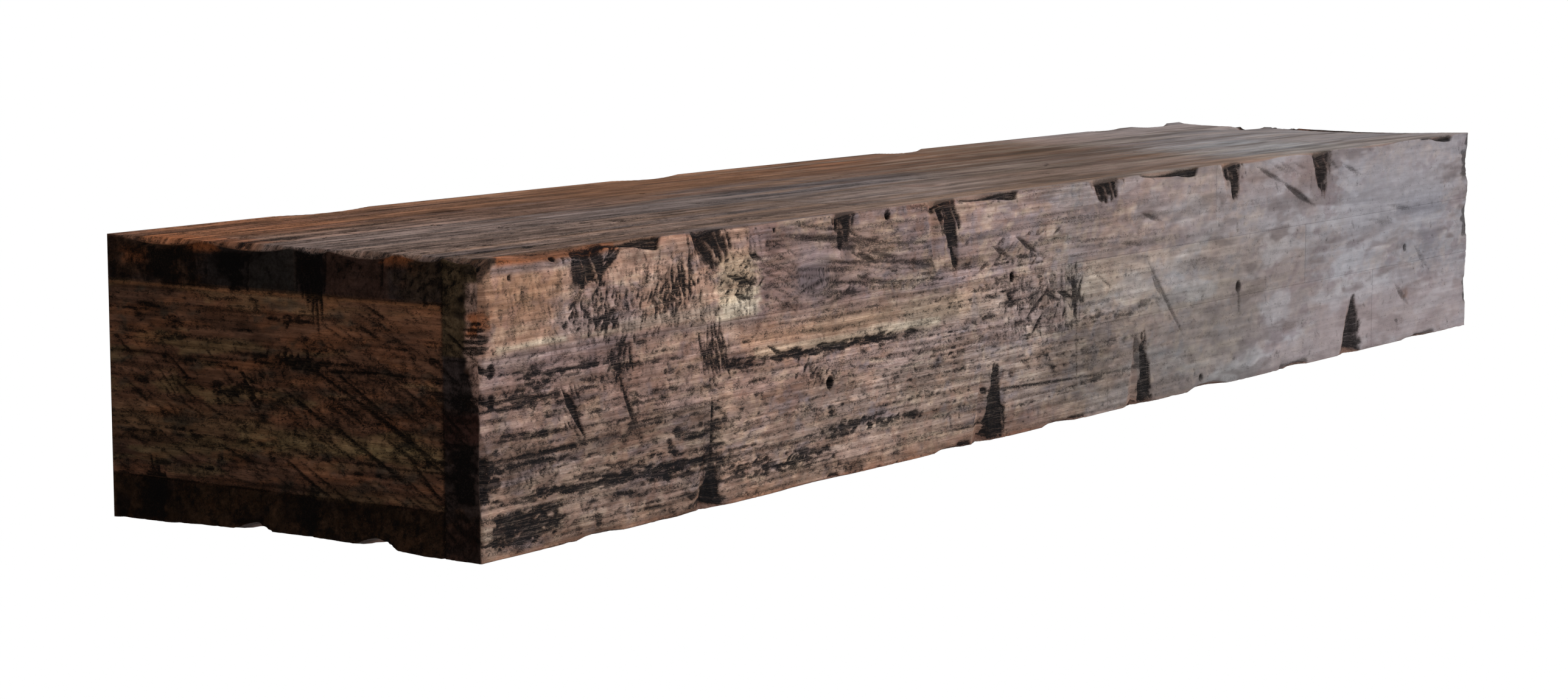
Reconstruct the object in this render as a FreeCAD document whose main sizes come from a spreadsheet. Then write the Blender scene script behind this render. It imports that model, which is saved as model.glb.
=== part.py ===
import FreeCAD, Part
import os
import Sketcher

# Mantel shelf: a hollow beam glued up from short staves, with hewn arrises and chops from an axe,
# that hangs on a bevelled wall cleat. X runs along the beam, the room is at -Y and Z points up.
# The origin is on the wall plane, at the middle of the length and the height of the wall screws.

# Driving sizes, in millimetres
SIZES = {
    "beam_length": 1219.2,
    "beam_depth": 254.0,
    "beam_height": 152.4,
    "board_thickness": 24.0,
    "hew_length": 100.0,
    "hew_depth": 4.0,
    "chop_width": 30.0,
    "chop_length": 40.0,
    "chop_depth": 4.5,
    "rib_thickness": 18.0,
    "cleat_end_room": 52.2,
    "cleat_thickness": 18.0,
    "cleat_play": 1.5,
    "rail_height": 36.0,
    "bevel_gap": 0.3,
    "blunt_tip": 2.0,
    "lift_room": 26.0,
    "stud_pitch": 406.4,
    "screw_hole_radius": 3.5,
    "counterbore_radius": 8.5,
    "counterbore_depth": 6.0,
    "rail_screw_length": 45.0,
    "rail_screw_radius": 2.0,
    "rail_screw_head_radius": 4.2,
    "rail_screw_head_height": 2.6,
    "drill_slack": 0.1,
}

# Rows of staves across a board, from its lower or front edge, and butt joints along each row
FRONT_ROW_SHARES = {"lower": (0, 0.387), "middle": (0.387, 0.663), "upper": (0.663, 1)}
FRONT_JOINT_SHARES = {
    "lower": (0, 0.157, 0.525, 0.857, 1),
    "middle": (0, 0.479, 0.763, 1),
    "upper": (0, 0.192, 0.648, 1),
}
SHELF_ROW_SHARES = {
    "front": (0, 0.304),
    "mid_front": (0.304, 0.537),
    "mid_back": (0.537, 0.77),
    "back": (0.77, 1),
}
TOP_JOINT_SHARES = {
    "front": (0, 0.31, 0.72, 1),
    "mid_front": (0, 0.17, 0.55, 1),
    "mid_back": (0, 0.42, 0.8, 1),
    "back": (0, 0.25, 0.64, 1),
}
BOTTOM_JOINT_SHARES = {
    "front": (0, 0.36, 0.7, 1),
    "mid_front": (0, 0.22, 0.6, 1),
    "mid_back": (0, 0.45, 0.83, 1),
    "back": (0, 0.3, 0.66, 1),
}
END_ROW_SHARES = {"lower": (0, 0.19), "middle": (0.19, 0.64), "upper": (0.64, 1)}

# Scoops of the adze along each arris: place along it, and length and depth of the scoop
FRONT_TOP_SCOOP_SHARES = (
    (0.051, 1.0, 1.1), (0.098, 0.5, 0.8), (0.193, 0.7, 0.4), (0.271, 0.6, 0.35),
    (0.392, 0.64, 1.0), (0.459, 0.7, 0.35), (0.525, 0.6, 0.5), (0.586, 0.76, 1.0),
    (0.697, 0.8, 0.45), (0.771, 0.6, 0.4), (0.861, 0.9, 0.5), (0.958, 0.5, 0.9),
)
FRONT_BOTTOM_SCOOP_SHARES = (
    (0.08, 0.4, 0.55), (0.156, 0.5, 0.3), (0.246, 0.9, 0.25), (0.365, 0.36, 0.55),
    (0.473, 0.44, 0.7), (0.558, 0.4, 0.3), (0.641, 0.6, 0.9), (0.752, 0.4, 0.5),
    (0.823, 0.4, 0.3), (0.92, 0.45, 0.4),
)
BACK_TOP_SCOOP_SHARES = (
    (0.139, 0.8, 0.6), (0.394, 0.7, 0.65), (0.645, 0.6, 0.9), (0.894, 0.5, 0.4),
    (0.956, 0.6, 1.3),
)
LEFT_TOP_SCOOP_SHARES = (
    (0.047, 0.24, 1.0), (0.142, 0.28, 1.0), (0.299, 0.44, 1.3), (0.433, 0.26, 0.9),
    (0.606, 0.62, 1.3), (0.85, 0.61, 1.2),
)
LEFT_BOTTOM_SCOOP_SHARES = ((0.28, 0.3, 1.5), (0.5, 1.8, 0.6), (0.605, 0.3, 1.5))
LEFT_FRONT_SCOOP_SHARES = (
    (0.08, 0.25, 0.5), (0.305, 0.4, 1.35), (0.525, 0.17, 0.75), (0.63, 0.15, 0.7),
    (0.785, 0.5, 1.6), (0.975, 0.3, 1.7),
)
RIGHT_TOP_SCOOP_SHARES = ((0.36, 1.75, 0.65), (0.74, 0.24, 1.3), (0.88, 0.65, 0.95))
RIGHT_BOTTOM_SCOOP_SHARES = ((0.3, 0.5, 0.7), (0.7, 0.5, 0.9))
RIGHT_FRONT_SCOOP_SHARES = ((0.25, 0.35, 0.4), (0.6, 0.3, 0.5), (0.85, 0.3, 0.5))
SCOOP_REACH_SHARE = 12

# Chops of the axe: place along the arris, and width, length and depth of the chop
FRONT_TOP_CHOP_SHARES = (
    (0.075, 1.15, 0.65, 1.0), (0.155, 1.0, 0.52, 0.9), (0.265, 0.75, 0.48, 0.7),
    (0.35, 0.75, 1.12, 1.0), (0.513, 1.1, 0.36, 0.7), (0.662, 0.85, 0.65, 0.8),
    (0.781, 1.05, 0.88, 0.9),
)
FRONT_BOTTOM_CHOP_SHARES = (
    (0.156, 0.75, 0.88, 0.9), (0.395, 0.85, 1.25, 1.1), (0.555, 0.85, 1.28, 0.9),
    (0.824, 1.1, 1.1, 1.0),
)
LEFT_TOP_CHOP_SHARES = ((0.437, 0.6, 1.05, 0.7),)
CHOP_OVERRUN_SHARE = 1.4

# The three ribs inside, as shares of the beam's length either side of its middle
RIB_NAMES = ("left", "centre", "right")
RIB_PLACE_SHARES = (-0.27, 0, 0.27)

# Places that several pieces share, as formulas on the sheet
LEFT = "-Sizes.beam_length / 2"
FRONT = "-Sizes.beam_depth"
INNER_FRONT = "(Sizes.board_thickness - Sizes.beam_depth)"
HOLLOW_HEIGHT = "(Sizes.beam_height - 2 * Sizes.board_thickness)"
CLEAT_BACK_HEIGHT = (
    f"({HOLLOW_HEIGHT} - Sizes.rail_height - Sizes.lift_room - Sizes.bevel_gap * sqrt(2))"
)
CLEAT_BOTTOM = f"(-{CLEAT_BACK_HEIGHT} / 2)"
HOLLOW_BOTTOM = f"({CLEAT_BOTTOM} - Sizes.lift_room)"
HOLLOW_TOP = f"({HOLLOW_BOTTOM} + {HOLLOW_HEIGHT})"
BOTTOM = f"({HOLLOW_BOTTOM} - Sizes.board_thickness)"
TOP = f"({HOLLOW_TOP} + Sizes.board_thickness)"

doc = FreeCAD.newDocument("MantelShelf")
sheet = doc.addObject("Spreadsheet::Sheet", "Sizes")
for row, (alias, value) in enumerate(SIZES.items(), start=1):
    sheet.set(f"A{row}", alias)
    sheet.set(f"B{row}", str(value))
    sheet.setAlias(f"B{row}", alias)
doc.recompute()

subparts = []


def size(alias):
    """A size as the sheet holds it."""
    return float(sheet.get(alias))


def bind(thing, formulas):
    """Tie properties of a document object to formulas on the sheet."""
    for name, formula in formulas.items():
        thing.setExpression(name, formula)


def keep(thing, label):
    """Name a finished sub-part and list it for writing."""
    thing.Label = label
    subparts.append(thing)
    return thing


def evaluate(formula):
    """The value of a formula on the sheet."""
    return float(sheet.evalExpression(formula))


# Adze scoops and axe chops

def arris(name, start, along, run, outward, scoop_shares):
    """Round cutters along one arris. Each leaves a shallow scoop square to the arris."""
    along, outward = FreeCAD.Vector(*along), FreeCAD.Vector(*outward).normalize()
    across = along.cross(outward)
    scoops = []
    for number, (place, length, depth) in enumerate(scoop_shares, start=1):
        half = f"(Sizes.hew_length * {length} / 2)"
        deep = f"(Sizes.hew_depth * {depth})"
        radius = f"(({half} * {half} + {deep} * {deep}) / (2 * {deep}))"
        reach = f"({deep} * {SCOOP_REACH_SHARE})"
        scoop = doc.addObject("Part::Cylinder", f"{name}_scoop_{number}")
        scoop.Placement.Rotation = FreeCAD.Rotation(FreeCAD.Vector(0, 0, 1), across)
        bind(scoop, {"Radius": radius, "Height": reach})
        for axis, origin, step, out, side in zip("xyz", start, along, outward, across):
            bind(scoop, {
                f"Placement.Base.{axis}": f"{origin} + {step} * ({run}) * {place}"
                f" + {out} * ({radius} - {deep}) - {side} * {reach} / 2"
            })
        scoops.append(scoop)
    return scoops


def chops(name, start, along, run, inward, outward, chop_shares):
    """Pointed cutters on one arris. Each leaves a notch that is wide at the arris and runs out."""
    origin = FreeCAD.Vector(*(evaluate(formula) for formula in start))
    along, inward, outward = (FreeCAD.Vector(*v) for v in (along, inward, outward))
    cutters = []
    for number, (place, width, length, depth) in enumerate(chop_shares, start=1):
        foot = origin + along * (evaluate(run) * place)
        apex = foot + inward * (size("chop_length") * length)
        half = along * (size("chop_width") * width / 2)
        deep = outward * (size("chop_depth") * depth)
        rim = [foot - half, foot - deep, foot + half, foot + deep]
        rim = [apex + (corner - apex) * CHOP_OVERRUN_SHARE for corner in rim]
        faces = [Part.Face(Part.makePolygon(rim + rim[:1]))]
        for one, other in zip(rim, rim[1:] + rim[:1]):
            faces.append(Part.Face(Part.makePolygon([one, other, apex, one])))
        solid = Part.Solid(Part.Shell(faces))
        if solid.Volume < 0:
            solid.reverse()
        chop = doc.addObject("Part::Feature", f"{name}_chop_{number}")
        chop.Shape = solid
        cutters.append(chop)
    return cutters


along_x, along_y, along_z = (1, 0, 0), (0, 1, 0), (0, 0, 1)
RIGHT = "Sizes.beam_length / 2"
top_front = (LEFT, FRONT, TOP)
bottom_front = (LEFT, FRONT, BOTTOM)
right_top_front = (RIGHT, FRONT, TOP)
right_bottom_front = (RIGHT, FRONT, BOTTOM)
length, depth, height = "Sizes.beam_length", "Sizes.beam_depth", "Sizes.beam_height"

cutters = (
    arris("front_top", top_front, along_x, length, (0, -1, 1), FRONT_TOP_SCOOP_SHARES)
    + arris("front_bottom", bottom_front, along_x, length, (0, -1, -2), FRONT_BOTTOM_SCOOP_SHARES)
    + arris("back_top", (LEFT, "0", TOP), along_x, length, (0, 1, 2), BACK_TOP_SCOOP_SHARES)
    + arris("left_top", top_front, along_y, depth, (-1, 0, 1), LEFT_TOP_SCOOP_SHARES)
    + arris("left_bottom", bottom_front, along_y, depth, (-1, 0, -5), LEFT_BOTTOM_SCOOP_SHARES)
    + arris("left_front", bottom_front, along_z, height, (-1, -1, 0), LEFT_FRONT_SCOOP_SHARES)
    + arris("right_top", right_top_front, along_y, depth, (1, 0, 4), RIGHT_TOP_SCOOP_SHARES)
    + arris("right_bottom", right_bottom_front, along_y, depth, (1, 0, -4), RIGHT_BOTTOM_SCOOP_SHARES)
    + arris("right_front", right_bottom_front, along_z, height, (1, -1, 0), RIGHT_FRONT_SCOOP_SHARES)
    + chops("front_top", top_front, along_x, length, (0, 0, -1), (0, -1, 0), FRONT_TOP_CHOP_SHARES)
    + chops("front_bottom", bottom_front, along_x, length, (0, 0, 1), (0, -1, 0),
            FRONT_BOTTOM_CHOP_SHARES)
    + chops("left_top", top_front, along_y, depth, (0, 0, -1), (-1, 0, 0), LEFT_TOP_CHOP_SHARES)
)
doc.recompute()


# Staves of the front, top and bottom boards and the end panels

def stave(label, corner, spans):
    """One stave, cut from a plain board by every tool mark that reaches it, one after another."""
    board = doc.addObject("Part::Box", f"{label}_board")
    bind(board, dict(zip(("Length", "Width", "Height"), spans)))
    bind(board, {f"Placement.Base.{axis}": place for axis, place in zip("xyz", corner)})
    doc.recompute([board])
    marks = [tool for tool in cutters if tool.Shape.BoundBox.intersect(board.Shape.BoundBox)]
    marks = [tool for tool in marks if tool.Shape.common(board.Shape).Volume > 0]
    hewn = board
    for number, tool in enumerate(marks, start=1):
        cut = doc.addObject("Part::Cut", f"{label}_hewn_{number}")
        cut.Base = hewn
        cut.Tool = tool
        hewn = cut
    return keep(hewn, label)


def share_of(start, run, shares):
    """Formulas for where a stretch starts and how long it is."""
    low, high = shares
    return f"{start} + ({run}) * {low}", f"({run}) * ({high} - {low})"


def rows_of_staves(board, start, row_run, row_shares, joint_shares, upright):
    """Every stave of one long board. Upright boards stack their rows up Z, others along Y."""
    for row, edges in row_shares.items():
        row_place, row_span = share_of(start[2] if upright else start[1], row_run, edges)
        joints = joint_shares[row]
        for number, ends in enumerate(zip(joints, joints[1:]), start=1):
            x, x_span = share_of(LEFT, length, ends)
            if upright:
                corner = (x, start[1], row_place)
                spans = (x_span, "Sizes.board_thickness", row_span)
            else:
                corner = (x, row_place, start[2])
                spans = (x_span, row_span, "Sizes.board_thickness")
            stave(f"{board}_{row}_stave_{number}", corner, spans)


rows_of_staves("front", (LEFT, FRONT, BOTTOM), height, FRONT_ROW_SHARES, FRONT_JOINT_SHARES, True)
rows_of_staves("top", (LEFT, INNER_FRONT, HOLLOW_TOP), f"-{INNER_FRONT}",
               SHELF_ROW_SHARES, TOP_JOINT_SHARES, False)
rows_of_staves("bottom", (LEFT, INNER_FRONT, BOTTOM), f"-{INNER_FRONT}",
               SHELF_ROW_SHARES, BOTTOM_JOINT_SHARES, False)
for side, x in {"left": LEFT, "right": f"{RIGHT} - Sizes.board_thickness"}.items():
    for row, edges in END_ROW_SHARES.items():
        z, z_span = share_of(HOLLOW_BOTTOM, HOLLOW_HEIGHT, edges)
        stave(f"{side}_end_{row}_stave", (x, INNER_FRONT, z),
              ("Sizes.board_thickness", f"-{INNER_FRONT}", z_span))


# Ribs, hanging rail and wall cleat

def profile_body(label, outline, width):
    """A body padded from an outline on the YZ plane, evenly to both sides of it."""
    body = doc.addObject("PartDesign::Body", f"{label}_body")
    sketch = body.newObject("Sketcher::SketchObject", f"{label}_outline")
    plane = next(f for f in body.Origin.OriginFeatures if f.Role == "YZ_Plane")
    sketch.AttachmentSupport = [(plane, "")]
    sketch.MapMode = "FlatFace"
    corners = [FreeCAD.Vector(evaluate(y), evaluate(z), 0) for y, z in outline]
    sides = [Part.LineSegment(a, b) for a, b in zip(corners, corners[1:] + corners[:1])]
    sketch.addGeometry(sides)
    for side in range(len(sides)):
        after = (side + 1) % len(sides)
        sketch.addConstraint(Sketcher.Constraint("Coincident", side, 2, after, 1))
    for side, (formulas, corner) in enumerate(zip(outline, corners)):
        for kind, formula, value in zip(("DistanceX", "DistanceY"), formulas, corner):
            if formula == "0":
                sketch.addConstraint(Sketcher.Constraint("PointOnObject", side, 1, -2))
                continue
            index = sketch.addConstraint(Sketcher.Constraint(kind, -1, 1, side, 1, value))
            name = f"{kind}_{side}"
            sketch.renameConstraint(index, name)
            sketch.setExpression(f"Constraints.{name}", formula)
    pad = body.newObject("PartDesign::Pad", f"{label}_pad")
    pad.Profile = sketch
    pad.Midplane = True
    pad.setExpression("Length", width)
    sketch.Visibility = False
    doc.recompute()
    return body


RAIL_FRONT = "-Sizes.cleat_thickness"
RAIL_LOW = f"({HOLLOW_TOP} - Sizes.rail_height)"
RAIL_FRONT_LOW = f"({RAIL_LOW} + Sizes.cleat_thickness)"
RIB_BACK = "-(Sizes.cleat_thickness + Sizes.cleat_play)"
RAIL_LENGTH = "Sizes.beam_length - 2 * Sizes.board_thickness"
RAIL_SCREW_HEIGHT = f"({HOLLOW_TOP} - (Sizes.rail_height - Sizes.cleat_thickness) / 2)"
CLEAT_TOP = f"(-{CLEAT_BOTTOM})"
CLEAT_TIP = f"({CLEAT_TOP} + Sizes.cleat_thickness - Sizes.blunt_tip)"


def rail_screw(name, rib_share, slack):
    """A countersunk screw through the rail into a rib, or with slack the hole drilled for it."""
    x = f"Sizes.beam_length * {rib_share}"
    shank = doc.addObject("Part::Cylinder", f"{name}_shank")
    bind(shank, {
        "Radius": f"Sizes.rail_screw_radius + {slack}",
        "Height": f"Sizes.rail_screw_length + {slack}",
    })
    head = doc.addObject("Part::Cone", f"{name}_head")
    bind(head, {
        "Radius1": f"Sizes.rail_screw_head_radius + {slack}",
        "Radius2": f"Sizes.rail_screw_radius + {slack}",
        "Height": "Sizes.rail_screw_head_height",
    })
    screw = doc.addObject("Part::Fuse", name)
    screw.Base = shank
    screw.Tool = head
    for piece in (shank, head):
        piece.Placement.Rotation = FreeCAD.Rotation(FreeCAD.Vector(0, 0, 1), FreeCAD.Vector(0, -1, 0))
        bind(piece, {"Placement.Base.x": x, "Placement.Base.z": RAIL_SCREW_HEIGHT})
    return screw


ribs = list(zip(RIB_NAMES, RIB_PLACE_SHARES))
drillings = {side: rail_screw(f"drilling_{side}", rib_share, "Sizes.drill_slack")
             for side, rib_share in ribs}
screws = [rail_screw(f"rail_screw_{side}", rib_share, "0") for side, rib_share in ribs]
rail_screws = doc.addObject("Part::Compound", "rail_screws")
rail_screws.Links = screws
keep(rail_screws, "rail_screws")

rib_outline = (
    (INNER_FRONT, HOLLOW_BOTTOM), (RIB_BACK, HOLLOW_BOTTOM), (RIB_BACK, RAIL_FRONT_LOW),
    (RAIL_FRONT, RAIL_FRONT_LOW), (RAIL_FRONT, HOLLOW_TOP), (INNER_FRONT, HOLLOW_TOP),
)
for side, rib_share in ribs:
    rib_body = profile_body(f"{side}_rib", rib_outline, "Sizes.rib_thickness")
    rib_body.setExpression("Placement.Base.x", f"Sizes.beam_length * {rib_share}")
    rib = doc.addObject("Part::Cut", f"{side}_rib_drilled")
    rib.Base = rib_body
    rib.Tool = drillings[side]
    keep(rib, f"{side}_rib")

rail_outline = (
    ("0", HOLLOW_TOP), (RAIL_FRONT, HOLLOW_TOP), (RAIL_FRONT, RAIL_FRONT_LOW),
    ("-Sizes.blunt_tip", f"{RAIL_LOW} + Sizes.blunt_tip"), ("0", f"{RAIL_LOW} + Sizes.blunt_tip"),
)
rail_body = profile_body("hanging_rail", rail_outline, RAIL_LENGTH)
rail_drilling = doc.addObject("Part::MultiFuse", "rail_drilling")
rail_drilling.Shapes = list(drillings.values())
hanging_rail = doc.addObject("Part::Cut", "hanging_rail_drilled")
hanging_rail.Base = rail_body
hanging_rail.Tool = rail_drilling
keep(hanging_rail, "hanging_rail")

cleat_outline = (
    ("0", CLEAT_BOTTOM), ("0", CLEAT_TOP), ("-(Sizes.cleat_thickness - Sizes.blunt_tip)", CLEAT_TIP),
    (RAIL_FRONT, CLEAT_TIP), (RAIL_FRONT, CLEAT_BOTTOM),
)
wall_cleat = profile_body("wall_cleat", cleat_outline, f"{RAIL_LENGTH} - 2 * Sizes.cleat_end_room")


def screw_pocket(name, radius, offset):
    """Four round holes in the cleat at the stud pitch, sketched on a plane in front of the wall."""
    sketch = wall_cleat.newObject("Sketcher::SketchObject", f"{name}_circles")
    plane = next(f for f in wall_cleat.Origin.OriginFeatures if f.Role == "XZ_Plane")
    sketch.AttachmentSupport = [(plane, "")]
    sketch.MapMode = "FlatFace"
    sketch.setExpression("AttachmentOffset.Base.z", offset)
    for number, pitch_share in enumerate((-1, -0.5, 0.5, 1)):
        centre = FreeCAD.Vector(size("stud_pitch") * pitch_share, 0, 0)
        sketch.addGeometry(Part.Circle(centre, FreeCAD.Vector(0, 0, 1), evaluate(radius)))
        sketch.addConstraint(Sketcher.Constraint("PointOnObject", number, 3, -1))
        place = sketch.addConstraint(Sketcher.Constraint("DistanceX", -1, 1, number, 3, centre.x))
        bore = sketch.addConstraint(Sketcher.Constraint("Radius", number, evaluate(radius)))
        sketch.setExpression(f"Constraints[{place}]", f"Sizes.stud_pitch * {pitch_share}")
        sketch.setExpression(f"Constraints[{bore}]", radius)
    pocket = wall_cleat.newObject("PartDesign::Pocket", name)
    pocket.Profile = sketch
    sketch.Visibility = False
    return pocket


clearance_holes = screw_pocket("clearance_holes", "Sizes.screw_hole_radius", "0")
clearance_holes.Type = "ThroughAll"
clearance_holes.Midplane = True
doc.recompute()
counterbores = screw_pocket("counterbores", "Sizes.counterbore_radius", "Sizes.cleat_thickness")
counterbores.setExpression("Length", "Sizes.counterbore_depth")
keep(wall_cleat, "wall_cleat")
doc.recompute()

# Every object is checked before anything is written
for thing in doc.Objects:
    if "Invalid" in thing.State or "Error" in thing.State:
        raise RuntimeError(f"{thing.Label} did not compute: {thing.State}")
for part in subparts:
    if part.Shape.isNull() or not part.Shape.isValid() or part.Shape.Volume <= 0:
        raise RuntimeError(f"{part.Label} has no sound shape")

os.makedirs("parts", exist_ok=True)
for part in subparts:
    part.Shape.exportStep(f"parts/{part.Label}.step")
print(f"{len(subparts)} sub-parts written")
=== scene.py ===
import math

import bpy
import numpy as np
from mathutils import Matrix, Vector
from mathutils.bvhtree import BVHTree


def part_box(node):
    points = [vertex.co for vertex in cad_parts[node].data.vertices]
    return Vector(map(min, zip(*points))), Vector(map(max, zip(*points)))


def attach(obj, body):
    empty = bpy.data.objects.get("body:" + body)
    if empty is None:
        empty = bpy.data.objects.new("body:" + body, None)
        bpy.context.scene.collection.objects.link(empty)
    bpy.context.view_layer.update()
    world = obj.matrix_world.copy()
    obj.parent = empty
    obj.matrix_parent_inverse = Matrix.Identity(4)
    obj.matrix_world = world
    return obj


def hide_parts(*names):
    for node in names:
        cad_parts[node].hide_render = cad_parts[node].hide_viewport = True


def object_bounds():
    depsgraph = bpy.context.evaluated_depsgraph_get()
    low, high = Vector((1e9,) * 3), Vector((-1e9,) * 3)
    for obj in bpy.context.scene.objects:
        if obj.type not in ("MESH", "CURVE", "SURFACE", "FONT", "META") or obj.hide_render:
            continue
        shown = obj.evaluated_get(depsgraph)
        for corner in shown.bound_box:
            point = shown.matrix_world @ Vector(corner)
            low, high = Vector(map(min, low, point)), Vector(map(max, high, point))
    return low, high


# A hollow mantel beam of hewn, stained and glazed staves. Every stave is a fine mesh that follows its
# solid's tool marks, with the chops, gouges, wormholes and weathered grain of its face cut into it.
# Face canvases are in millimetres; meshes are in metres.

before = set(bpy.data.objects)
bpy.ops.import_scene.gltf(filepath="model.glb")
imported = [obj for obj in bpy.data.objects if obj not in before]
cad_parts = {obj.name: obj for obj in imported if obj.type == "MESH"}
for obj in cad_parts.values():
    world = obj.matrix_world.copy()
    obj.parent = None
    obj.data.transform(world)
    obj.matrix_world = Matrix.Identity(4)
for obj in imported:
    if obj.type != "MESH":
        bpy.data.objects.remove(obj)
cad_low, cad_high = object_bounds()

MM = 0.001
BEAM_LOW = np.array(cad_low) / MM
BEAM_HIGH = np.array(cad_high) / MM
LENGTH, DEPTH, HEIGHT = BEAM_HIGH - BEAM_LOW
# The boards' thickness, the level of the top board's underside, and how far the front board's back
# stands from the wall
BOARD, LID, LIP = 24, 128.4, 230
# Marks are cut towards a core this far inside the beam. The rays that look for a solid's worked face
# start this far outside it, and stay this far inside the stave's own box.
CORE = 12.0
CAST_START = 1.5
NUDGE = 0.03
# Noise repeats after this many cells, and fine lines stay this dark, just short of a mark's edge
CELLS = 512
FAINT = 0.46


def each(call, *rows, **same):
    """Calls a function once for every row of values, with others that stay the same."""
    for row in rows:
        call(*row, **same)


# Colours, written as display values from 0 to 255

def shade(red, green, blue):
    """Linear colour of a display colour."""
    parts = np.array((red, green, blue), np.float32) / 255
    return np.where(parts > 0.04045, ((parts + 0.055) / 1.055) ** 2.4, parts / 12.92).astype(np.float32)


TAN = shade(156, 130, 116)
PEACH = shade(172, 136, 113)
PINK = shade(158, 128, 118)
BROWN = shade(112, 88, 77)
MAUVE = shade(114, 101, 104)
CREAM = shade(194, 169, 143)
AMBER = shade(176, 134, 98)
ORANGE = shade(158, 94, 56)
RUST = shade(122, 84, 64)
SILVER = shade(154, 151, 154)
SLATE = shade(112, 110, 117)
WALNUT = shade(86, 58, 42)
UMBER = shade(60, 42, 32)
OLIVE = shade(106, 86, 57)
SOOT = shade(30, 24, 23)
END_ORANGE = shade(132, 78, 48)
CHOP_BROWN = shade(91, 75, 68)
INK = (0.006, 0.006, 0.007, 1)


# Noise and small helpers

def smooth(low, high, value):
    """Soft step from 0 at low to 1 at high."""
    t = np.clip((value - low) / (high - low), 0, 1)
    return t * t * (3 - 2 * t)


def mix(one, other, share):
    """Blend of two values."""
    return one + (other - one) * share


def noise(u, v, cell_u, cell_v, seed, octaves=1):
    """Smooth noise from 0 to 1 whose blobs are cell_u long and cell_v high."""
    total, weight = 0, 0
    for octave in range(octaves):
        table = np.random.default_rng(seed * 37 + octave).random((CELLS, CELLS), dtype=np.float32)
        x = u * (2 ** octave / cell_u) + 11.7 * seed
        y = v * (2 ** octave / cell_v) + 5.3 * seed
        i, j = np.floor(x).astype(np.int32), np.floor(y).astype(np.int32)
        fx, fy = (x - i).astype(np.float32), (y - j).astype(np.float32)
        fx, fy = fx * fx * (3 - 2 * fx), fy * fy * (3 - 2 * fy)
        i0, j0, i1, j1 = i % CELLS, j % CELLS, (i + 1) % CELLS, (j + 1) % CELLS
        low = mix(table[j0, i0], table[j0, i1], fx)
        high = mix(table[j1, i0], table[j1, i1], fx)
        total = total + mix(low, high, fy) / 2 ** octave
        weight += 1 / 2 ** octave
    return total / weight


def ink_of(marks, density):
    """Soft darkness of a noise at a density: 0.5 lies on the marks' edges. A density of 0 leaves
    almost none, 0.5 about a seventh and 1 about three quarters of the face dark."""
    score = (marks - marks.mean()) / marks.std()
    return np.clip(0.5 + (score - 2.6 + 3.2 * density) * 0.28, 0, 1)


def blurred(field, reach):
    """A field averaged over a square of a few steps."""
    for axis in (0, 1):
        pad = [(0, 0), (0, 0)]
        pad[axis] = (reach + 1, reach)
        total = np.cumsum(np.pad(field, pad, "edge"), axis, dtype=np.float64)
        one, other = [slice(None)] * 2, [slice(None)] * 2
        one[axis], other[axis] = slice(2 * reach + 1, None), slice(None, -2 * reach - 1)
        field = ((total[tuple(one)] - total[tuple(other)]) / (2 * reach + 1)).astype(np.float32)
    return field


def softened(field):
    """A field without the detail that is as fine as its grid, which a mesh can't follow."""
    for axis in (0, 1):
        steps = np.arange(field.shape[axis])
        before = np.take(field, np.maximum(steps - 1, 0), axis)
        after = np.take(field, np.minimum(steps + 1, len(steps) - 1), axis)
        field = (before + 2 * field + after) / 4
    return field


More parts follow.
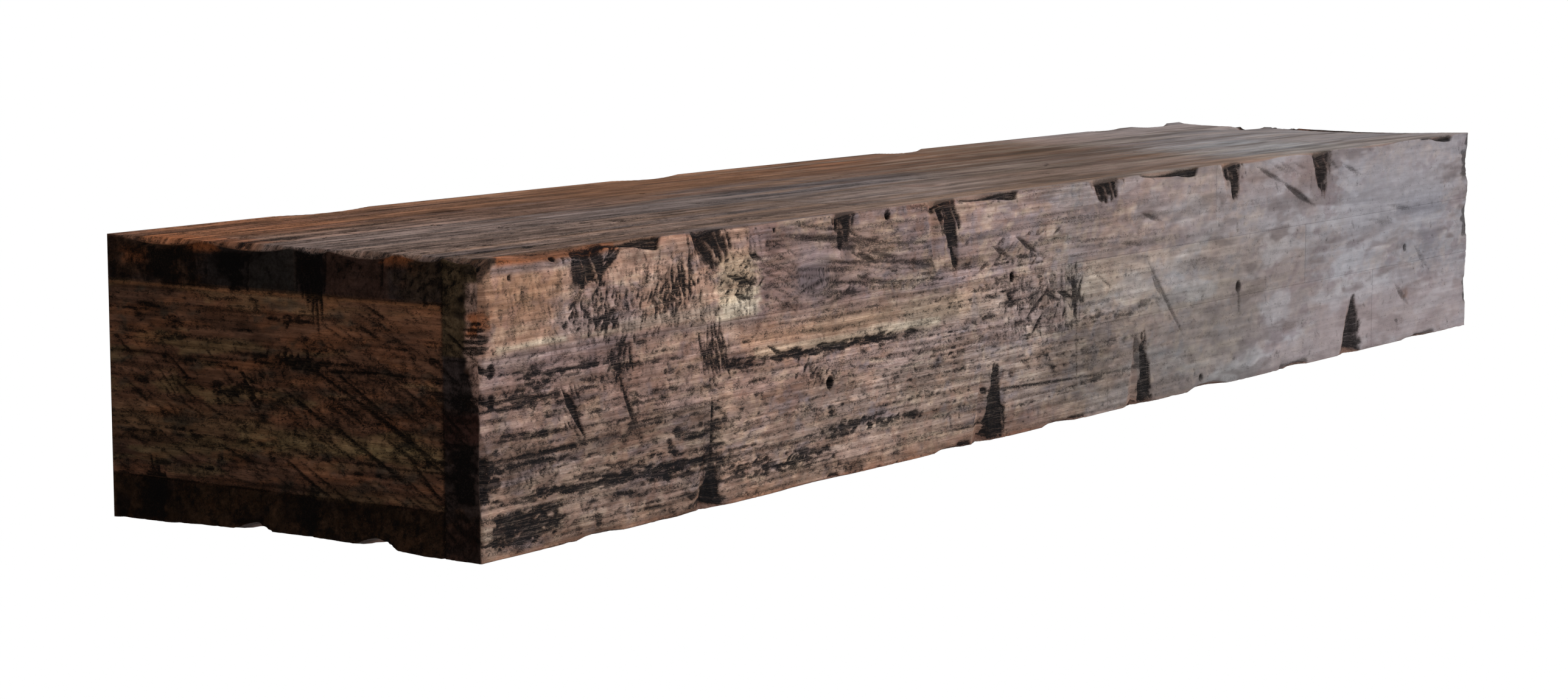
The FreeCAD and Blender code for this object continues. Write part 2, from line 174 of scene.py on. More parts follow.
class Canvas:
    """One outer face of the beam as a fine drawing board. relief is how deep the surface lies in
    millimetres, dark is how black it is, with 0.5 on the edge of a mark, streak and speck say how
    dense streaks along the grain and short dashes across it are, warp bends the grain, calm is how
    worn and even the wood is and tint is its colour."""

    def __init__(self, wide, high, step, seed, base):
        self.step, self.seed = step, seed
        self.wide, self.high = wide, high
        self.u, self.v = np.meshgrid(*(
            np.arange(int(size / step) + 2, dtype=np.float32) * step for size in (wide, high)))
        for field in ("relief", "dark", "streak", "speck", "warp", "calm"):
            setattr(self, field, np.zeros_like(self.u))
        self.tint = np.ones((*self.u.shape, 3), np.float32) * base

    def window(self, u0, u1, v0, v1, margin=0):
        """The slices of the canvas round a stretch of the face, and the places in them."""
        at = tuple(
            slice(max(int((low - margin) / self.step), 0), max(int((high + margin) / self.step) + 2, 0))
            for low, high in ((v0, v1), (u0, u1)))
        return at, self.u[at], self.v[at]

    def area(self, u0, u1, v0, v1, soft, ragged=0.0):
        """A soft-edged rectangle as a window and its weights, with edges as ragged as asked."""
        at, u, v = self.window(u0, u1, v0, v1, soft + ragged)
        if ragged:
            u = u + (noise(u, v, 4, 2, self.seed + 3, 2) - 0.5) * 4 * ragged
            v = v + (noise(u, v, 25, 5, self.seed + 4, 2) - 0.5) * 2 * ragged
        across = smooth(u0 - soft, u0 + soft, u) * smooth(u1 + soft, u1 - soft, u)
        return at, across * smooth(v0 - soft, v0 + soft, v) * smooth(v1 + soft, v1 - soft, v)

    def lay(self, at, tint, weight):
        """Covers a window with a tint by weight."""
        weight = weight[..., None]
        self.tint[at] = self.tint[at] * (1 - weight) + tint * weight

    def stain(self, at, black, deeper=0.0):
        """Makes a window at least as black as asked, and lowers it."""
        self.dark[at] = np.maximum(self.dark[at], black)
        self.relief[at] += deeper

    def cut(self, at, black, deep):
        """Makes a window at least as black and as deep as asked."""
        self.stain(at, black)
        self.relief[at] = np.maximum(self.relief[at], deep)

    def blot(self, u0, u1, v0, v1, black=0.85, deeper=0.0, soft=2.0, ragged=3.0):
        """A black spot with ragged edges."""
        at, weight = self.area(u0, u1, v0, v1, soft, ragged)
        self.stain(at, weight * black, weight * deeper)

    def fade(self, u0, u1, v0, v1, factors, soft=10, ragged=0.0):
        """Makes a soft-edged rectangle lighter or darker, red, green and blue each by a factor."""
        at, weight = self.area(u0, u1, v0, v1, soft, ragged)
        self.tint[at] *= mix(1, np.array(factors, np.float32), weight[..., None])

    def colour(self, u0, u1, v0, v1, tint, share=1.0, soft=3.0, ragged=0.0):
        """Tints a stretch of the face."""
        at, weight = self.area(u0, u1, v0, v1, soft, ragged)
        self.lay(at, tint, weight * share)

    def density(self, u0, u1, v0, v1, value, field="streak", soft=4.0, ragged=0.0):
        """Raises how dense streaks or specks are over a stretch of the face."""
        board = getattr(self, field)
        at, weight = self.area(u0, u1, v0, v1, soft, ragged)
        board[at] = np.maximum(board[at], weight * value)

    def stroke(self, u0, v0, u1, v1, width, deep=0.3, black=1.0, point=0.5):
        """A straight cut that runs out at its ends. point is the share of it that narrows."""
        at, u, v = self.window(min(u0, u1), max(u0, u1), min(v0, v1), max(v0, v1), width + 1)
        run_u, run_v = u1 - u0, v1 - v0
        squared = run_u * run_u + run_v * run_v + 1e-6
        t = np.clip(((u - u0) * run_u + (v - v0) * run_v) / squared, 0, 1)
        away = np.hypot(u - u0 - run_u * t, v - v0 - run_v * t)
        half = width / 2 * np.clip(np.minimum(t, 1 - t) / max(point / 2, 1e-3), 0.12, 1)
        inside = np.clip(1 - (away - half) / (0.4 + half * 0.35), 0, 1)
        self.cut(at, inside * black, inside * inside * deep)

    def sweep(self, places, width, deep=0.3, black=0.6):
        """A curved line through several places."""
        for (u0, v0), (u1, v1) in zip(places[:-1], places[1:]):
            self.stroke(u0, v0, u1, v1, width, deep, black, 0.1)

    def dashes(self, u0, u1, v0, v1, count, long, width, lean, seed, deep=0.3, black=0.9, spread=12):
        """Many short cuts, densest in the middle of a stretch. lean is their slope from the vertical,
        in degrees."""
        rng = np.random.default_rng(seed)
        for _ in range(count):
            u, v = (mix(a, b, np.clip(0.5 + rng.normal(0, 0.26), 0, 1)) for a, b in ((u0, u1), (v0, v1)))
            turn = math.radians(lean + rng.normal(0, spread))
            reach = long * rng.uniform(0.4, 1.0) / 2
            thick = width * rng.uniform(0.6, 1.3)
            du, dv = math.sin(turn) * reach, math.cos(turn) * reach
            self.stroke(u - du, v - dv, u + du, v + dv, thick, deep * rng.uniform(0.5, 1),
                        black * rng.uniform(0.6, 1.1), 0.9)

    def hole(self, u, v, across, deep=4.0, tail=0.0):
        """A wormhole with a stained rim, and a streak that has run down from it if it has a tail."""
        at, uu, vv = self.window(u - across, u + across, v - across, v + across, 2)
        away = np.hypot(uu - u, (vv - v) * 0.9) / (across / 2)
        away = away + (noise(uu, vv, 2, 2, self.seed + 9) - 0.5) * 0.25
        self.cut(at, smooth(1.6, 0.95, away), smooth(1.1, 0.6, away) * deep)
        if tail:
            self.stroke(u, v, u + tail * 0.1, v - tail, across * 0.6, 0.2, 0.55, 0.7)

    def chop(self, u, tip, width, lean, black=1.0, brown=0.0, blunt=0.6, arris=0.0, deep=0.8, hairs=1.6):
        """An axe chop that is wide at the arris and narrows to its tip, torn along the blow."""
        reach = tip - arris
        at, uu, vv = self.window(u - width, u + width, min(arris, tip), max(arris, tip), abs(lean) + 4)
        down = (vv - arris) / reach
        side = uu - u - lean * down
        torn = noise(side, vv, hairs, 14, self.seed + 5, 2)
        torn = torn + (noise(uu, vv, 2.6, 3.0, self.seed + 6, 2) - 0.5) * 0.7
        torn = torn + (noise(uu, vv, 8, 7, self.seed + 7, 2) - 0.5) * 0.6
        half = width / 2 * np.clip(1 - down, 0, 1) ** blunt + 0.3
        edge = np.abs(side) / half + (torn - 0.5) * 0.9
        within = smooth(1.25, 0.72, edge) * smooth(1.1, 0.82, down + (torn - 0.5) * 0.6)
        within = within * smooth(-0.15, 0.0, down)
        gap = smooth(0.5, 0.78, noise(side + 0.35 * (vv - arris), vv, hairs * 1.6, 11, self.seed + 7, 2))
        valley = np.clip(1 - np.abs(side) / half, 0, 1) * np.clip(1 - down, 0, 1)
        self.stain(at, within * (black - 0.55 * gap) * 1.1, within * (deep * valley + 0.8 * (1 - torn)))
        self.calm[at] *= 1 - 0.75 * within
        self.lay(at, CHOP_BROWN, within * brown)

    def chip(self, u0, u1, thick, edge, inward, deep=2.6):
        """A dark wedge split out along an arris, thin at u0 and blunt at u1."""
        low, high = min(u0, u1), max(u0, u1)
        at, uu, vv = self.window(low, high, edge - thick, edge + thick, 3)
        t = (uu - u0) / (u1 - u0)
        body = thick * (0.18 + 0.82 * smooth(0.3, 0.95, t)) * (0.9 + 0.2 * noise(uu, vv, 9, 3, self.seed + 8))
        off = (vv - edge) * inward
        within = smooth(body + 0.6, body - 0.5, off) * smooth(-0.02, 0.12, t)
        within = within * smooth(1.02, 0.985, t + off * 0.004)
        self.cut(at, within, within * deep * np.clip(t, 0, 1))
        self.calm[at] *= 1 - 0.8 * within

    def dip(self, u, v, long, wide, deep):
        """A smooth hollow, deepest at its middle, worn into the face."""
        at, uu, vv = self.window(u - long, u + long, v - wide, v + wide)
        away = np.clip(1 - ((uu - u) / long) ** 2, 0, 1) * np.clip(1 - ((vv - v) / wide) ** 2, 0, 1)
        self.relief[at] += away * away * deep

    def hatch(self, u0, u1, v0, v1, slope, value, seed, long=30, wide=1.5):
        """Fine slanting saw marks over a stretch. slope is in degrees up from the u axis."""
        at, weight = self.area(u0, u1, v0, v1, 8, 3)
        turn = math.radians(slope)
        along = self.u[at] * math.cos(turn) + self.v[at] * math.sin(turn)
        over = self.v[at] * math.cos(turn) - self.u[at] * math.sin(turn)
        marks = noise(along, over, long, wide, self.seed + seed, 2)
        ink = ink_of(marks, weight * value)
        self.stain(at, ink * np.clip(weight * 1.6, 0, 1), 0.35 * smooth(0.4, 0.75, ink))

    def patches(self, tint, cover, cell_u, cell_v, seed, share, where=1.0):
        """Lets soft patches of another tint show through, over about a share of the face."""
        bend = noise(self.u, self.v, cell_u * 0.5, cell_v * 0.7, seed + 1, 2) - 0.5
        drift = noise(self.u + bend * cell_u, self.v + self.warp + bend * cell_v, cell_u, cell_v, seed, 3)
        score = (drift - drift.mean()) / drift.std()
        self.lay(..., tint, smooth(-0.5, 0.7, score - 1.6 + 2.6 * cover) * share * where)

    def knot(self, u, v, radius, tint, share=0.8, swirl=1.0):
        """A knot: the grain flows round it and its wood is darker."""
        at, uu, vv = self.window(u - radius * 6, u + radius * 6, v - radius * 3, v + radius * 3)
        right, up = uu - u, vv - v
        du, dv = right / (radius * 2.6), up / (radius * 1.3)
        near = np.exp(-(du * du + dv * dv))
        self.warp[at] -= np.sign(dv) * near * radius * 0.9 * swirl * np.minimum(np.abs(dv) * 2, 1)
        bend = (noise(uu, vv, radius * 1.4, radius, self.seed + 44, 3) - 0.5) * radius * 2.2
        heart = np.exp(-((right + bend) ** 2 / 2 + (up - bend) ** 2) / (radius * radius * 0.8))
        self.lay(at, tint, np.clip(heart * 1.3, 0, 1) * share)
        rings = 0.5 + 0.5 * np.sin(np.hypot(right, up * 1.5) * 2.6 + bend * 1.4)
        self.stain(at, heart * rings * 0.42, heart * 0.35)

    def joint(self, u0, v0, u1, v1, black=0.7, deep=0.35, seed=1):
        """A glue line between two staves, open in places."""
        across = abs(v1 - v0) < abs(u1 - u0)
        at, uu, vv = self.window(u0, u1, v0, v1, 2)
        away = np.abs(vv - v0) if across else np.abs(uu - u0)
        along = uu if across else vv
        open_here = smooth(0.35, 0.6, noise(along, away * 0, 22, 1, self.seed + 40 + seed, 2))
        weight = smooth(0.9, 0.25, away) * (0.25 + 0.75 * open_here)
        self.stain(at, weight * black, weight * deep)

    def wash(self, first, second, cell_u, cell_v, seed, share=1.0):
        """Lets the wood's colour drift between two tints along the grain."""
        drift = smooth(0.3, 0.7, noise(self.u, self.v + self.warp, cell_u, cell_v, seed, 3))
        between = noise(self.u, self.v, cell_u * 2, cell_v * 2, seed + 1)[..., None]
        self.lay(..., mix(first, second, between), drift * share)

    def weather(self, wave=0.45, grain=0.2, tone=1.0, long=1.0, cracked=0.4):
        """Cuts the grain, the streaks, the specks and a hand-scraped waviness into the face. long
        stretches the grain, and cracked says how dense the fine brown lines in it are."""
        def rough(along, across, cell_u, cell_v, number, octaves=2):
            return noise(along, across, cell_u, cell_v, self.seed + number, octaves)

        u, v = self.u / long, self.v + self.warp
        self.dark = mix(self.dark, blurred(self.dark, 3), np.clip(self.calm * 1.3, 0, 1))
        bent = v + 5 * rough(u, v, 110, 24, 22)
        fibre = rough(u, bent, 85, 2.4, 11, 3)
        thread = rough(u, bent, 30, 1.1, 12)
        lean = self.u + 0.22 * v + 6 * rough(u, v, 9, 11, 25)
        rise = v + 9 * rough(u, v, 8, 7, 26)
        cracks = np.minimum(ink_of(rough(u, bent, 75, 1.35, 21), cracked), FAINT)
        broad = rough(u, v, 150, 13, 13)
        mottle = rough(u, v, 9, 3.6, 19, 3)
        gather = rough(u, v, 60, 9, 20) - 0.5
        lines = 0.5 * rough(u, bent, 44, 1.2, 14) + 0.5 * rough(lean, rise, 6.5, 1.9, 15, 3)
        ink = ink_of(lines, self.streak * (1 + 1.1 * gather))
        ticks = 0.6 * rough(lean, rise, 1.6, 5.0, 16) + 0.4 * rough(lean, rise, 4.2, 3.4, 17, 3)
        ticks = ink_of(ticks, self.speck * (0.8 + 1.2 * gather))
        clump = 0.3 + 1.4 * rough(self.u, self.v, 13, 10, 24)
        crowd = np.minimum(self.speck * 1.5 * clump, 0.75) * (self.speck > 0.02)
        nicks = np.minimum(ink_of(rough(lean, rise, 1.1, 4.2, 23), crowd), FAINT)
        torn = np.clip(self.speck * 2.6, 0, 1)
        blotch = rough(lean, rise, 3.4, 7.5, 27, 3)
        fibre, thread = mix(fibre, blotch, 0.7 * torn), mix(thread, blotch, 0.7 * torn)
        cracks = cracks * (1 - 0.75 * torn)
        calm = 1 - 0.7 * self.calm
        self.dark = np.maximum.reduce([self.dark, ink * calm, ticks * 0.95, nicks * calm, cracks * calm])
        tones = 1 + tone * calm * (0.42 * (broad - 0.5) + 0.46 * (fibre - 0.5) + 0.42 * (thread - 0.5))
        tones = tones * (1 + tone * calm * 0.85 * (mottle - 0.5))
        tones = tones * (1 - 0.2 * smooth(0.05, 0.6, blurred(self.dark, 5)))
        # Painted highlight: a pale rim just under each dark mark, as if its raised lower edge caught the
        # light
        over = np.roll(self.dark, -round(1.3 / self.step), 0)
        painted_highlight = (0.5 * np.clip(over - self.dark - 0.15, 0, 0.7) * calm)[..., None]
        self.tint = self.tint * np.clip(tones, 0.35, 1.6)[..., None] * (1 + painted_highlight)
        waves = rough(u, v, 55, 38, 18) * wave
        self.relief = self.relief + waves + grain * (1 - fibre) + grain * (1 - thread) + grain * (1 - mottle)
        self.relief = self.relief + 0.45 * smooth(0.35, 0.75, self.dark)
        self.tint, self.dark, self.relief = softened(self.tint), softened(self.dark), softened(self.relief)

    def sample(self, field, us, vs):
        """A field at every crossing of two sets of lines, as rows of vs by columns of us."""
        board = getattr(self, field)
        x = np.clip(us / self.step, 0, board.shape[1] - 1.001)
        y = np.clip(vs / self.step, 0, board.shape[0] - 1.001)
        i, j = x.astype(int), y.astype(int)
        fx, fy = x - i, y - j
        if board.ndim == 3:
            fx, fy = fx[:, None], fy[:, None, None]
        else:
            fy = fy[:, None]
        low = mix(board[np.ix_(j, i)], board[np.ix_(j, i + 1)], fx)
        high = mix(board[np.ix_(j + 1, i)], board[np.ix_(j + 1, i + 1)], fx)
        return mix(low, high, fy)


# The faces of the beam

def boxes_of(prefix):
    """Box of every node whose name starts with a prefix, in millimetres."""
    found = {}
    for name in sorted(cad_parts):
        if name.startswith(prefix):
            low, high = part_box(name)
            found[name] = (np.array(low) / MM, np.array(high) / MM)
    return found


def tint_staves(canvas, prefix, tints, u_axis, v_axis, line=1.0):
    """Gives each stave its own tone and height, and draws the glue lines round it."""
    for number, (name, (low, high)) in enumerate(boxes_of(prefix).items()):
        u0, u1 = low[u_axis] - BEAM_LOW[u_axis], high[u_axis] - BEAM_LOW[u_axis]
        v0, v1 = low[v_axis] - BEAM_LOW[v_axis], high[v_axis] - BEAM_LOW[v_axis]
        at = canvas.window(u0, u1 - canvas.step, v0, v1 - canvas.step)[0]
        canvas.tint[at] = tints[name]
        canvas.relief[at] += 0.12 * (number * 7 % 4) / 3
        if u0 > 1:
            canvas.joint(u0, v0, u0, v1, 0.6 * line, 0.35 * line, seed=number)
        if v0 > 1:
            canvas.joint(u0, v0, u1, v0, 0.35, 0.2, seed=number + 20)


def paint_front():
    """The front as the photograph shows it: u runs from the near end and v from the underside."""
    face = Canvas(LENGTH, HEIGHT, 0.5, 10, TAN)
    high_row = HEIGHT * 0.663
    tones = {
        "upper": (mix(PEACH, PINK, 0.3), mix(PINK, MAUVE, 0.35), mix(PINK, SILVER, 0.45)),
        "middle": (mix(TAN, PINK, 0.5), mix(TAN, CREAM, 0.25), mix(TAN, SILVER, 0.7)),
        # The lower row is darker: painted shade, as if the light falls from above
        "lower": (mix(TAN, PEACH, 0.3) * 0.8, TAN * 0.8, mix(TAN, PINK, 0.4) * 0.88,
                  mix(PINK, SILVER, 0.5) * 0.95),
    }
    tints = {f"front_{row}_stave_{number}": tone for row, own in tones.items()
             for number, tone in enumerate(own, 1)}
    tint_staves(face, "front_", tints, 0, 2, 0.4)
    each(
        face.patches, (mix(BROWN, TAN, 0.35), 0.3, 70, 9, 31, 0.6), (MAUVE, 0.16, 34, 8, 33, 0.5),
        (PEACH, 0.2, 26, 8, 35, 0.45), (CREAM, 0.1, 30, 6, 37, 0.4), (RUST, 0.12, 34, 5, 39, 0.3),
        (mix(PINK, CREAM, 0.5), 0.2, 18, 7, 41, 0.5), (mix(CREAM, PEACH, 0.5), 0.2, 8, 8, 43, 0.4),
        (mix(RUST, PINK, 0.3), 0.2, 6, 9, 45, 0.4), (mix(MAUVE, SLATE, 0.4), 0.1, 10, 7, 47, 0.4),
    )

    # Pale and orange wood in the upper row near the end, and the cream block at its butt joint
    face.colour(5, 63, 121, 149, AMBER, 0.3, 12, 4)
    near_end = smooth(112, 84, face.u) * smooth(106, 110, face.v)
    joint_highlight = mix(CREAM, shade(220, 205, 178), 0.5)
    each(
        face.patches, (mix(PINK, RUST, 0.25), 0.3, 10, 8, 55, 0.6, near_end),
        (mix(BROWN, OLIVE, 0.4), 0.14, 5, 6, 57, 0.5, near_end),
    )
    each(
        face.colour, (12, 117, 104, 113, PEACH, 0.5, 3, 2),
        # Painted highlight: ivory strips along the upper row's lower edge; painted shadow: the darkened mauve
        # band under the row joint
        (14, 72, 104.2, 107.4, joint_highlight, 0.85, 1.4, 1.5), (84, 117, 104.2, 106.6, joint_highlight, 0.6, 1.4, 1.5),
        (0, 250, 98.6, 103.2, MAUVE * 0.8, 0.55, 1.8, 1.5), (62, 135, 106, 119, SLATE, 0.45, 6, 3),
        (204, 243, 105, 137, CREAM, 0.6, 5, 4), (117, 245, 104, 111, mix(CREAM, SLATE, 0.4), 0.7, 2, 2),
        (-8, 9, 116, 127, ORANGE, 0.8, 3, 3), (10, 113, 143, 148, mix(SLATE, PINK, 0.4), 0.7, 2, 1),
        # The knot and the purplish wood right of the block
        (245, 362, 102, 140, mix(MAUVE, PINK, 0.55), 0.5, 16, 6),
        (276, 312, 106, 128, shade(104, 93, 100), 0.6, 8, 4),
        (250, 280, 112, 138, mix(RUST, PINK, 0.5), 0.4, 6, 4),
        (335, 380, 118, 142, mix(AMBER, PINK, 0.5), 0.4, 8, 4),
        # The cream and amber band under it, and mauve wood to its left
        (223, 468, 82, 94, mix(AMBER, PEACH, 0.5), 0.6, 5, 3), (239, 433, 78, 83, CREAM, 0.7, 2, 1.5),
        (392, 513, 79, 92, CREAM, 0.3, 8, 4), (0, 125, 86, 102.8, mix(MAUVE, PINK, 0.3), 0.6, 10, 3),
        (603, 703, 71, 99, CREAM, 0.25, 12, 5),
        # Reddish wood low down and along the bottom arris
        (0, 156, 47, 63, RUST, 0.22, 10, 5), (444, 832, 0, 11, RUST, 0.35, 7, 4),
        (0, 444, 0, 8, mix(RUST, AMBER, 0.4), 0.3, 7, 3),
        (-10, LENGTH + 10, -3, 1.8, ORANGE * 0.75, 0.5, 1.5, 1.2),
    )
    # The far third is greyer and smoother: the grey is a painted sheen of pale reflected light
    far = smooth(400, 1000, face.u)
    face.tint = mix(face.tint, SILVER * 0.92, far[..., None] * 0.66)
    each(
        face.patches, (shade(172, 168, 170), 0.3, 60, 20, 49, 0.6, far),
        (shade(112, 100, 98), 0.34, 55, 10, 51, 0.7, far),
        (shade(126, 112, 114), 0.2, 18, 8, 53, 0.5, far),
    )
    each(
        face.colour, (988, 1173, 85, 128, mix(SILVER, shade(164, 161, 165), 0.6), 0.6, 18, 8),
        (1089, 1174, 93, 106, SLATE, 0.55, 8, 5), (1128, 1166, 54, 85, SLATE, 0.4, 8, 5),
        (949, 1219, 0, 42, mix(PINK, SILVER, 0.5), 0.5, 12, 6),
        (809, 963, 128, 150, mix(PINK, BROWN, 0.3), 0.35, 12, 6),
    )

    # Lighter and darker stretches, and two black joints at the bottom arris
    face.tint *= np.array((0.97, 1.0, 1.05), np.float32)
    each(
        face.fade, (-20, 245, 104, HEIGHT + 20, (1.2, 1.25, 1.28), 10, 4),
        (262, 600, 100, HEIGHT + 20, (1.06, 1.12, 1.12), 14, 6),
        (290, 560, 10, 76, (1.16, 1.26, 1.34), 24, 6),
        (-20, 62, 110, HEIGHT + 20, (0.76, 0.7, 0.65), 12, 5),
        (395, 860, -20, 58, (0.78, 0.78, 0.76), 22, 8), (760, 960, 40, 104, (0.84, 0.81, 0.78), 30, 10),
        (204, 243, 103, 136, (1.16, 1.18, 1.18), 5, 3), (-20, 200, -20, 64, (0.86, 0.92, 0.97), 12, 6),
        (205, 300, -20, 46, (1.06, 1.1, 1.12), 12, 6), (375, 620, 60, 104, (0.93, 1.01, 1.06), 30, 6),
        (640, 830, 102, HEIGHT + 20, (1.08, 1.0, 0.96), 40, 6),
        (290, 455, 80, 97, (0.67, 0.72, 0.74), 12, 4), (204, 243, 100, 117, (1.12, 1.2, 1.18), 4, 3),
        (206, 243, 120, 140, (0.76, 0.74, 0.7), 4, 3),
    )
    each(face.colour, (191, 204, -10, 24, SOOT, 0.75, 3, 3), (489, 504, -10, 30, SOOT, 0.45, 3, 3))
    for u0, u1, factors in ((520, 610, (0.87, 0.93, 0.93)), (760, 920, (1.035, 0.97, 0.97))):
        face.tint *= mix(1, np.array(factors, np.float32), smooth(u0, u1, face.u)[..., None])
    above = smooth(30, 62, face.v) + smooth(150, 420, face.u)
    face.tint *= mix(0.94, 1.0, above)[..., None].clip(0, 1)

    # How worn the wood is and how dense the black streaks are
    face.calm += smooth(430, 980, face.u) * 0.85
    each(
        face.density, (262, 560, 104, 150, 0.22, "calm", 20), (8, 74, 108, 148, 0.16, "calm", 8),
        (8, 210, 2, 60, 0.16, "streak", 6, 4),
    )
    near = smooth(760, 240, face.u)
    face.streak += mix(0.3, 0.34, near) * smooth(high_row + 2, high_row - 4, face.v)
    face.streak += 0.14 * smooth(high_row - 4, high_row + 2, face.v) * smooth(200, 260, face.u)
    face.streak *= mix(0.62, 1.0, smooth(1050, 650, face.u))
    each(
        face.density, (8, 67, 5, 23, 0.86), (24, 58, 8, 17, 1.05), (40, 197, 24, 33, 0.95),
        (110, 197, 12, 24, 0.34),
        (8, 197, 18, 34, 0.4), (205, 319, 9, 22, 0.64), (307, 384, 25, 32, 0.95),
        (205, 413, 22, 35, 0.54), (214, 397, 73, 79, 1.15), (9, 135, 61, 100, 0.42),
        (20, 99, 86, 95, 0.74), (13, 83, 76, 81, 0.9), (384, 483, 71, 81, 0.62), (341, 574, 35, 73, 0.5),
        (311, 484, 45, 61, 0.52), (412, 573, 102, 114, 0.5), (331, 433, 104, 140, 0.46),
        (575, 773, 21, 29, 0.62), (752, 1003, 85, 93, 0.42), (574, 733, 57, 71, 0.5),
        (948, 1044, 42, 52, 0.4), (1041, 1117, 91, 103, 0.4), (653, 810, 105, 111, 0.55),
        (197, 341, 55, 69, 0.52), (214, 341, 37, 49, 0.42), (103, 191, 53, 61, 0.6),
        (443, 597, 77, 100, 0.5),
        soft=5, ragged=5,
    )
    face.density(61, 1219, 0, 6, 0.25, soft=2)
    # Fine curved grain right of the cream block
    each(
        face.hatch, (250, 430, 104, 150, -5, 0.46, 25, 42, 1.7),
        (250, 330, 100, 120, 9, 0.44, 26, 24, 1.5),
    )
    # Short dashes across the grain, most of them in the upper row near the end
    each(
        face.density, (14, 245, 100, 145, 0.36, "speck", 8, 4), (20, 208, 61, 102, 0.16, "speck", 10, 4),
        (208, 614, 31, 102, 0.04, "speck", 10, 4),
    )
    each(
        face.density, (104, 191, 104, 127, 0.42), (131, 154, 107, 116, 0.7), (167, 193, 111, 120, 0.7),
        (103, 124, 79, 97, 0.85), (109, 119, 93, 101, 1.0), (191, 214, 78, 92, 0.8),
        (87, 104, 80, 86, 0.9), (208, 243, 114, 126, 0.55), (62, 83, 106, 119, 0.5),
        (203, 218, 20, 30, 0.7), (507, 598, 59, 102, 0.42), (286, 311, 57, 71, 0.6),
        (75, 117, 117, 127, 0.5), (19, 61, 30, 57, 0.42),
        field="speck", soft=4, ragged=3,
    )

    cut_front(face)
    face.weather()
    return face


